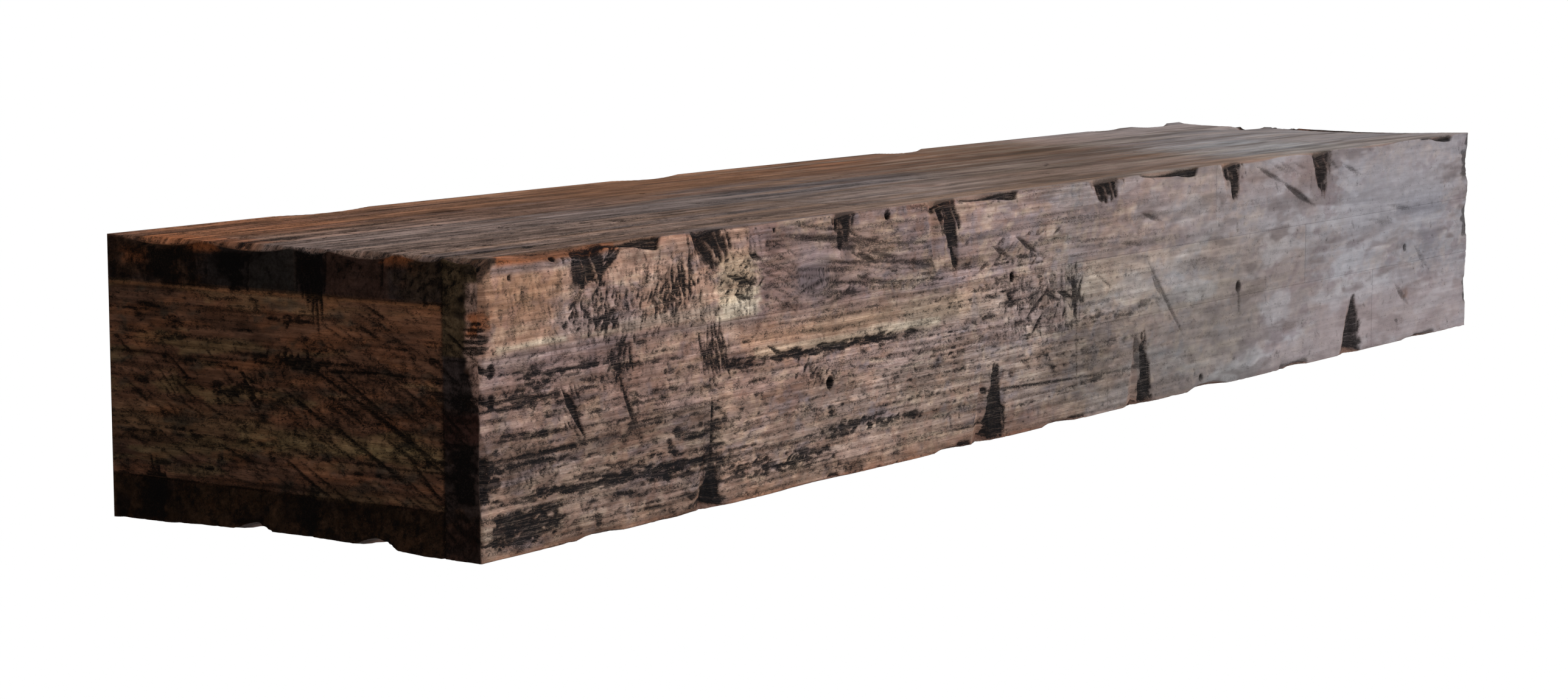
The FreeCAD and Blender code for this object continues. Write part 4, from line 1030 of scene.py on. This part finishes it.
# For each face: its axis and side, the axes of its u and v, and whether u runs from the high end
FACES = {
    "front": (1, 0, 0, 2, False), "back": (1, 1, 0, 2, False), "top": (2, 1, 0, 1, False),
    "bottom": (2, 0, 0, 1, False), "left": (0, 0, 1, 2, True), "right": (0, 1, 1, 2, True),
}
HEWN_TINTS = {
    "front": mix(RUST, TAN, 0.3), "back": UMBER, "top": mix(RUST, TAN, 0.2), "bottom": UMBER,
    "left": SOOT * 0.7, "right": mix(SOOT, UMBER, 0.3),
}
HEWN_SHARES = {"front": 0.35, "back": 0.5, "top": 0.5, "bottom": 0.6, "left": 0.4, "right": 0.6}


# Meshes of the staves

def lines_between(low, high, step):
    """Evenly spaced places from low to high, about a step apart."""
    return np.linspace(low, high, max(int(round((high - low) / step)), 1) + 1)


def lattice(low, high, steps, dense):
    """A closed box whose dense faces are fine grids and whose other faces are single polygons.
    Returns the points, the corners of each polygon, the face each polygon is on and, for each dense
    face, its point numbers as a grid of v by u."""
    lines = [lines_between(low[a], high[a], steps[a]) for a in range(3)]
    counts = [len(line) for line in lines]
    ends = [(0, count - 1) for count in counts]

    def key(i, j, k):
        return (i * counts[1] + j) * counts[2] + k

    grids = {}
    for face in dense:
        axis, side, u_axis, v_axis, _ = FACES[face]
        index = [None] * 3
        index[u_axis], index[v_axis] = np.meshgrid(np.arange(counts[u_axis]), np.arange(counts[v_axis]))
        index[axis] = np.full_like(index[u_axis], ends[axis][side])
        grids[face] = key(*index)
    corners = [key(i, j, k) for i in ends[0] for j in ends[1] for k in ends[2]]
    keys = np.unique(np.concatenate([g.ravel() for g in grids.values()] + [np.array(corners)]))
    i, rest = np.divmod(keys, counts[1] * counts[2])
    j, k = np.divmod(rest, counts[2])
    points = np.stack([lines[0][i], lines[1][j], lines[2][k]], -1)
    polygons, on_face = [], []
    for face, (axis, side, u_axis, v_axis, _) in FACES.items():
        outward = (axis, u_axis, v_axis) in ((0, 1, 2), (1, 2, 0), (2, 0, 1))
        flip = outward != bool(side)
        if face in grids:
            grid = np.searchsorted(keys, grids[face])
            grids[face] = grid
            quads = np.stack([grid[:-1, :-1], grid[:-1, 1:], grid[1:, 1:], grid[1:, :-1]], -1).reshape(-1, 4)
            polygons.append(quads[:, ::-1] if flip else quads)
            on_face += [face] * len(quads)
            continue
        loop = []
        place = [0, 0, 0]
        place[axis] = ends[axis][side]
        rim = ((u_axis, v_axis, 0, False), (v_axis, u_axis, 1, False), (u_axis, v_axis, 1, True),
               (v_axis, u_axis, 0, True))
        for run, fixed, fixed_side, backwards in rim:
            place[fixed] = ends[fixed][fixed_side]
            neighbour = next(f for f, (a, s, *_) in FACES.items() if a == fixed and s == fixed_side)
            stops = range(counts[run]) if neighbour in dense else ends[run]
            for stop in list(reversed(stops) if backwards else stops)[:-1]:
                place[run] = stop
                loop.append(key(*place))
        loop = np.searchsorted(keys, np.array(loop))
        polygons.append((loop[::-1] if flip else loop)[None])
        on_face.append(face)
    return points, polygons, on_face, grids


def hewn_depths(node, points, inward, low, high):
    """How far each point lies inside its solid's worked surface, measured along its way inwards."""
    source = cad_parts[node].data
    source.calc_loop_triangles()
    tree = BVHTree.FromPolygons(
        [vertex.co.copy() for vertex in source.vertices],
        [tuple(triangle.vertices) for triangle in source.loop_triangles])
    inner = (low > BEAM_LOW + 1), (high < BEAM_HIGH - 1)
    near = np.where(inner[0], low + NUDGE, low - 99)
    far = np.where(inner[1], high - NUDGE, high + 99)
    starts = (np.clip(points, near, far) - inward * CAST_START) * MM
    depths = np.zeros(len(points))
    reach = (CORE + CAST_START) * MM
    for number, (start, way) in enumerate(zip(starts.tolist(), inward.tolist())):
        distance = tree.ray_cast(start, way, reach)[3]
        if distance is not None:
            depths[number] = max(distance / MM - CAST_START, 0)
    return depths


def stave_mesh(node, dense, steps, grain_axis, materials):
    """One stave's mesh, with its marks cut and its colours stored on its points."""
    low, high = (np.array(corner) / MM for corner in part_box(node))
    points, polygons, on_face, grids = lattice(low, high, steps, dense)
    core = np.clip(points, BEAM_LOW + CORE, BEAM_HIGH - CORE)
    inward = core - points
    lengths = np.linalg.norm(inward, axis=1, keepdims=True)
    worked = (lengths[:, 0] > 1e-6) & np.isin(np.arange(len(points)), np.concatenate(
        [grid.ravel() for grid in grids.values()]))
    inward = np.where(lengths > 1e-6, inward / np.maximum(lengths, 1e-6), 0)
    depths = np.zeros(len(points))
    depths[worked] = hewn_depths(node, points[worked], inward[worked], low, high)

    names = ("dark", "warp", "streak", "calm")
    sums = {name: np.zeros(len(points)) for name in names}
    relief = np.zeros(len(points))
    tint, seen = np.zeros((len(points), 3)), np.zeros(len(points))
    for face, grid in grids.items():
        axis, side, u_axis, v_axis, from_high = FACES[face]
        canvas = CANVASES[face]
        us = points[grid[0], u_axis] - BEAM_LOW[u_axis]
        us = canvas.wide - us if from_high else us
        vs = points[grid[:, 0], v_axis] - BEAM_LOW[v_axis]
        flat = grid.ravel()
        for name in names:
            sums[name][flat] += canvas.sample(name, us, vs).ravel()
        relief[flat] = np.maximum(relief[flat], canvas.sample("relief", us, vs).ravel())
        colour = canvas.sample("tint", us, vs).reshape(-1, 3)
        cut = smooth(0.25, 1.4, depths[flat])[:, None] * HEWN_SHARES[face]
        cut = cut * (1 - np.clip(canvas.sample("dark", us, vs).ravel(), 0, 1))[:, None]
        tint[flat] += mix(colour, HEWN_TINTS[face], cut)
        seen[flat] += 1
    seen = np.maximum(seen, 1)
    for name in names:
        sums[name] /= seen
    tint /= seen[:, None]
    relief = relief * smooth(0, 7, BEAM_HIGH[1] - points[:, 1])
    depths = depths + np.where(worked, np.clip(relief, 0, CORE - 2), 0)
    moved = points + inward * depths[:, None]

    mesh = bpy.data.meshes.new(node)
    mesh.vertices.add(len(moved))
    mesh.vertices.foreach_set("co", (moved * MM).astype(np.float32).ravel())
    corners = np.concatenate([group.ravel() for group in polygons]).astype(np.int32)
    sizes = np.concatenate([np.full(len(group), group.shape[1]) for group in polygons])
    mesh.loops.add(len(corners))
    mesh.loops.foreach_set("vertex_index", corners)
    mesh.polygons.add(len(sizes))
    mesh.polygons.foreach_set("loop_start", np.concatenate([[0], np.cumsum(sizes)[:-1]]).astype(np.int32))
    # The materials: 0 on worked faces, 1 on faces inside and 2 on the worked ends of long boards
    is_fine = np.array([face in grids for face in on_face])
    mesh.polygons.foreach_set("use_smooth", is_fine)
    is_end = np.isin(on_face, ("left", "right")) & (len(materials) > 2)
    mesh.polygons.foreach_set("material_index", np.where(is_fine, is_end * 2, 1).astype(np.int32))
    for material in materials:
        mesh.materials.append(material)

    grain = points[:, [grain_axis, 1 - grain_axis, 2]]
    grain[:, 2] += sums["warp"]
    offset = np.random.default_rng(sum(map(ord, node)) + 7).uniform(0, 4000, 3)
    grain = (grain + offset) * MM
    for name, values in (
        ("grain", grain), ("tint", tint), ("glaze", np.clip(sums["dark"], 0, 1)),
        ("flecks", np.clip(sums["streak"], 0, 1)), ("calm", np.clip(sums["calm"], 0, 1)),
    ):
        kind, field = ("FLOAT_VECTOR", "vector") if values.ndim == 2 else ("FLOAT", "value")
        layer = mesh.attributes.new(name, kind, "POINT")
        layer.data.foreach_set(field, values.astype(np.float32).ravel())
    mesh.update(calc_edges=True)
    mesh.validate()
    return mesh


# Materials

class Graph:
    """The nodes of a material or a world, wired with short calls."""

    def __init__(self, owner):
        owner.use_nodes = True
        self.owner, self.tree = owner, owner.node_tree
        self.surface = self.tree.nodes.get("Principled BSDF")

    def wire(self, node, **inputs):
        """Sets a node's inputs, named with underscores or by number as n0, or links other sockets."""
        for name, value in inputs.items():
            numbered = name[0] == "n" and name[1:].isdigit()
            socket = node.inputs[int(name[1:]) if numbered else name.replace("_", " ")]
            if isinstance(value, bpy.types.NodeSocket):
                self.tree.links.new(value, socket)
            else:
                socket.default_value = value
        return node

    def node(self, kind, settings=None, **inputs):
        """A node with its settings and inputs."""
        made = self.tree.nodes.new(kind)
        for name, value in (settings or {}).items():
            setattr(made, name, value)
        return self.wire(made, **inputs)

    def attribute(self, name, output="Fac"):
        return self.node("ShaderNodeAttribute", {"attribute_name": name}).outputs[output]

    def math(self, operation, one, other):
        return self.node("ShaderNodeMath", {"operation": operation}, n0=one, n1=other).outputs[0]

    def times(self, one, other):
        return self.math("MULTIPLY", one, other)

    def plus(self, total, *parts):
        """A value with others added to it, each times its weight."""
        for value, weight in parts:
            total = self.node("ShaderNodeMath", {"operation": "MULTIPLY_ADD"}, n0=value, n1=weight,
                              n2=total).outputs[0]
        return total

    def grainy(self, where, along, across, detail=3.0, rough=0.55, bend=0.0):
        """Noise stretched along the grain. along and across are blobs to the metre."""
        stretched = self.node("ShaderNodeVectorMath", {"operation": "MULTIPLY"}, n0=where,
                              n1=(along, across, across)).outputs[0]
        return self.node("ShaderNodeTexNoise", Vector=stretched, Scale=1.0, Detail=detail,
                         Roughness=rough, Distortion=bend).outputs["Fac"]

    def span(self, value, low, high, to_low=0.0, to_high=1.0):
        """Soft step of a value onto a new range."""
        return self.node("ShaderNodeMapRange", {"interpolation_type": "SMOOTHSTEP"}, Value=value,
                         From_Min=low, From_Max=high, To_Min=to_low, To_Max=to_high).outputs[0]

    def blend(self, share, one, other, mode="MIX"):
        """Mix of two colours."""
        return self.node("ShaderNodeMix", {"data_type": "RGBA", "blend_type": mode},
                         n0=share, n6=one, n7=other).outputs[2]

    def tone(self, colour, share, low, high):
        """A colour times a blend of two factors, each given as red, green and blue."""
        return self.blend(1.0, colour, self.blend(share, (*low, 1), (*high, 1)), "MULTIPLY")

    def dress(self, colour, rough, height, strength, distance, **others):
        """Gives the surface its colour, roughness and bumps, and returns the material."""
        bumps = self.node("ShaderNodeBump", Strength=strength, Distance=distance, Height=height)
        self.wire(self.surface, Base_Color=colour, Roughness=rough, Normal=bumps.outputs[0], **others)
        return self.owner


def hewn_wood(name, ink=INK, dirt=(0.03, 0.024, 0.021, 1), gloss=0.04, smoothest=0.55, lift=1.12):
    """Stained, weathered wood. The points' tint gives its colour and their glaze where it is black."""
    graph = Graph(bpy.data.materials.new(name))
    where = graph.attribute("grain", "Vector")
    fibre = graph.grainy(where, 9, 480, 4, bend=0.5)
    thread = graph.grainy(where, 45, 1500, 3, bend=0.7)
    pores = graph.grainy(where, 210, 1300, 3)
    torn = graph.grainy(where, 330, 620, 4, 0.65, 1.6)
    grit = graph.grainy(where, 900, 1500, 2, bend=1.5)
    plain = graph.blend(1.0, graph.attribute("tint", "Color"), (lift, lift, lift, 1), "MULTIPLY")
    colour = graph.tone(plain, graph.span(fibre, 0.3, 0.7), (0.78, 0.73, 0.7), (1.24, 1.23, 1.22))
    colour = graph.tone(colour, graph.span(thread, 0.3, 0.68), (0.78, 0.74, 0.72), (1.14, 1.15, 1.16))
    colour = graph.tone(colour, graph.span(torn, 0.28, 0.72), (0.86, 0.84, 0.83), (1.14, 1.15, 1.16))
    flecks = graph.span(graph.plus(pores, (graph.attribute("flecks"), 0.2)), 0.64, 0.78)
    colour = graph.blend(graph.times(flecks, 0.6), colour, dirt)
    calm = graph.span(graph.attribute("calm"), 0.0, 0.6)
    colour = graph.blend(graph.times(calm, 0.85), colour, plain)
    # Three of the noises tear the glaze's edge, and their middles add up to 1.4
    ragged = graph.math("SUBTRACT", graph.attribute("glaze"), 1.4)
    ragged = graph.plus(ragged, (torn, 1.5), (thread, 0.7), (grit, 0.6))
    stain = graph.span(ragged, 0.16, 0.56)
    black = graph.span(ragged, graph.span(calm, 0.0, 1.0, 0.43, 0.34), graph.span(calm, 0.0, 1.0, 0.64, 0.8))
    colour = graph.blend(graph.times(stain, 0.36), colour, dirt)
    worn = graph.span(graph.plus(thread, (torn, 0.6)), 0.76, 0.98, 0.97, 0.6)
    faded = graph.span(calm, 0.0, 1.0, 1.0, 0.5)
    colour = graph.blend(graph.times(graph.times(black, worn), faded), colour, ink)
    rough = graph.plus(graph.span(fibre, 0.3, 0.7, smoothest + 0.2, smoothest), (black, 0.1))
    height = graph.plus(0.0, (fibre, 0.7), (thread, 0.6), (torn, 0.5), (stain, -0.35), (black, -0.35))
    strength = graph.span(calm, 0.0, 1.0, 0.75, 0.3)
    return graph.dress(colour, rough, height, strength, 0.0009, Specular_IOR_Level=gloss)


def planed_wood(name, pale, dark, swap=False):
    """Bare planed wood, with growth lines, fine fibres and saw lines, for what lies inside."""
    graph = Graph(bpy.data.materials.new(name))
    place = graph.node("ShaderNodeTexCoord").outputs["Object"]
    if swap:
        parts = graph.node("ShaderNodeSeparateXYZ", n0=place)
        place = graph.node("ShaderNodeCombineXYZ", n0=parts.outputs[1], n1=parts.outputs[0],
                           n2=parts.outputs[2]).outputs[0]
    broad = graph.grainy(place, 3.0, 60, 3, 0.5, 0.6)
    fibre = graph.grainy(place, 10, 520, 4)
    thread = graph.grainy(place, 60, 1900, 3)
    saw = graph.grainy(place, 420, 9, 2)
    colour = graph.blend(graph.span(broad, 0.3, 0.7), dark, pale)
    colour = graph.tone(colour, graph.span(fibre, 0.3, 0.7), (0.72, 0.66, 0.6), (1.12, 1.1, 1.08))
    colour = graph.blend(graph.span(thread, 0.62, 0.75, 0.0, 0.5), colour, (0.12, 0.07, 0.04, 1))
    cells = graph.node("ShaderNodeVectorMath", {"operation": "MULTIPLY"}, n0=place, n1=(4, 13, 13))
    spots = graph.node("ShaderNodeTexVoronoi", Vector=cells.outputs[0], Scale=1.0).outputs["Distance"]
    colour = graph.blend(graph.span(spots, 0.16, 0.06, 0.0, 0.75), colour, (0.1, 0.05, 0.025, 1))
    height = graph.plus(0.0, (fibre, 0.6), (saw, 0.8), (thread, 0.4))
    rough = graph.span(fibre, 0.3, 0.7, 0.78, 0.6)
    return graph.dress(colour, rough, height, 0.4, 0.0005, Specular_IOR_Level=0.3)


def zinc_steel(name):
    """Bright zinc-plated steel, lightly scuffed."""
    graph = Graph(bpy.data.materials.new(name))
    place = graph.node("ShaderNodeTexCoord").outputs["Object"]
    cloud = graph.grainy(place, 300, 300, 3)
    scuff = graph.grainy(place, 1500, 400, 2)
    colour = graph.blend(graph.span(cloud, 0.35, 0.65), (0.5, 0.48, 0.42, 1), (0.68, 0.66, 0.6, 1))
    rough = graph.span(scuff, 0.3, 0.7, 0.28, 0.48)
    return graph.dress(colour, rough, scuff, 0.2, 0.0002, Metallic=1.0)


front_wood = hewn_wood("front_wood", gloss=0.02)
top_wood = hewn_wood("top_wood", gloss=0.003)
bottom_wood = hewn_wood("bottom_wood")
end_wood = hewn_wood("end_wood", (0.0044, 0.0038, 0.0036, 1), (0.011, 0.008, 0.0065, 1), 0.0, 0.65)
board_inside = planed_wood("board_inside", (0.37, 0.23, 0.13, 1), (0.25, 0.145, 0.08, 1))
end_inside = planed_wood("end_inside", (0.34, 0.21, 0.12, 1), (0.23, 0.135, 0.075, 1), True)
pine = planed_wood("pine", (0.62, 0.43, 0.25, 1), (0.47, 0.29, 0.15, 1))
steel = zinc_steel("zinc_steel")


# The staves

def placed(name, data):
    """A new object in the scene."""
    piece = bpy.data.objects.new(name, data)
    bpy.context.scene.collection.objects.link(piece)
    return piece


def outer_faces(low, high, wanted):
    """Which of the wanted faces of a box lie on the outside of the beam."""
    kept = []
    for face in wanted:
        axis, side, *_ = FACES[face]
        edge, limit = (high[axis], BEAM_HIGH[axis]) if side else (low[axis], BEAM_LOW[axis])
        if abs(edge - limit) < 1:
            kept.append(face)
    return kept


def add_board(prefix, wanted, steps, grain_axis, materials):
    """Adds every stave of a board in its solid's place. The steps along the grain widen away from the
    near end."""
    for node, (low, high) in boxes_of(prefix).items():
        away = (low[0] - BEAM_LOW[0]) / LENGTH
        own = (steps[0] * (1 + away * 0.8), steps[1], steps[2])
        dense = outer_faces(low, high, wanted)
        piece = placed(f"{node}.hewn", stave_mesh(node, dense, own, grain_axis, materials))
        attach(piece, "shell")
        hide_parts(node)


add_board("front_", FACES, (0.62, 0.9, 0.56), 0, (front_wood, board_inside, end_wood))
add_board("top_", FACES, (1.2, 1.05, 1.4), 0, (top_wood, board_inside, end_wood))
add_board("bottom_", FACES, (2.2, 2.2, 1.6), 0, (bottom_wood, board_inside, end_wood))
add_board("left_end_", ("left", "back"), (2.0, 0.8, 0.7), 1, (end_wood, end_inside))
add_board("right_end_", ("right", "back"), (1.1, 1.1, 1.0), 1, (end_wood, end_inside))

for node in ("left_rib", "centre_rib", "right_rib", "hanging_rail", "wall_cleat", "rail_screws"):
    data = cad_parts[node].data
    data.materials.clear()
    data.materials.append(steel if node == "rail_screws" else pine)


# Floor, light and camera

FLOOR_DROP = 1.3
FLOOR_SIZE = 400.0
FLOOR_GREY = 0.72
FLOOR_GLOW = 0.7
GLOW_STRENGTH = 1.2
AMBIENT = 0.42
KEY = 2.2
KEY_FROM = (0.42, -0.8, 0.48)
KEY_SPREAD = 30
CAMERA_ANGLES = (55.716, 7.113, -0.096)
CAMERA_FROM = (-8.497, -6.985, 2.073)
LENS = 78.523


def seen_rays(graph):
    """1 for what the camera, a mirror or glass sees, and 0 for light on the shelf."""
    path = graph.node("ShaderNodeLightPath")
    seen = path.outputs["Is Camera Ray"]
    for kind in ("Is Glossy Ray", "Is Transmission Ray"):
        seen = graph.math("MAXIMUM", seen, path.outputs[kind])
    return seen


def lit_white(name):
    """A world that lights the shelf evenly and that the camera and mirrors see as white."""
    graph = Graph(bpy.data.worlds.new(name))
    bpy.context.scene.world = graph.owner
    strength = graph.node("ShaderNodeMapRange", Value=seen_rays(graph), To_Min=AMBIENT)
    graph.wire(graph.tree.nodes["Background"], Strength=strength.outputs[0], Color=(1, 1, 1, 1))


def add_floor():
    """A plain pale floor well below the shelf, which the camera sees as white with a faint shadow."""
    graph = Graph(bpy.data.materials.new("pale_floor"))
    graph.wire(graph.surface, Base_Color=(FLOOR_GREY, FLOOR_GREY, FLOOR_GREY, 1), Roughness=0.9,
               Specular_IOR_Level=0.0)
    glow = graph.node("ShaderNodeEmission", Strength=GLOW_STRENGTH)
    seen = graph.times(seen_rays(graph), FLOOR_GLOW)
    shown = graph.node("ShaderNodeMixShader", n0=seen, n1=graph.surface.outputs[0], n2=glow.outputs[0])
    graph.wire(graph.tree.nodes["Material Output"], Surface=shown.outputs[0])
    mesh = bpy.data.meshes.new("floor")
    half, level = FLOOR_SIZE / 2, cad_low[2] - FLOOR_DROP
    corners = [(-half, -half, level), (half, -half, level), (half, half, level), (-half, half, level)]
    mesh.from_pydata(corners, [], [(0, 1, 2, 3)])
    mesh.materials.append(graph.owner)
    placed("floor", mesh)


def add_sun(name):
    """A soft distant lamp in front of the shelf, high and to the right."""
    lamp = bpy.data.lights.new(name, "SUN")
    lamp.energy = KEY
    lamp.angle = math.radians(KEY_SPREAD)
    placed(name, lamp).rotation_euler = Vector(KEY_FROM).to_track_quat("Z", "Y").to_euler()


def add_camera():
    """The photograph's viewpoint, low off the near end, placed in beam heights from the near corner."""
    yaw, pitch, roll = (math.radians(angle) for angle in CAMERA_ANGLES)
    ahead = Vector((math.sin(yaw) * math.cos(pitch), math.cos(yaw) * math.cos(pitch), -math.sin(pitch)))
    level = Vector((math.cos(yaw), -math.sin(yaw), 0))
    upright = level.cross(ahead)
    right = level * math.cos(roll) + upright * math.sin(roll)
    up = upright * math.cos(roll) - level * math.sin(roll)
    place = Vector(cad_low) + Vector(CAMERA_FROM) * (cad_high[2] - cad_low[2])
    camera = bpy.data.cameras.new("camera")
    camera.lens = LENS
    camera.sensor_width = 36
    camera.clip_end = 100
    piece = placed("camera", camera)
    piece.matrix_world = Matrix.Translation(place) @ Matrix((right, up, -ahead)).transposed().to_4x4()
    bpy.context.scene.camera = piece


add_floor()
lit_white("studio")
add_sun("key")
add_camera()
bpy.context.scene.view_settings.view_transform = "Standard"
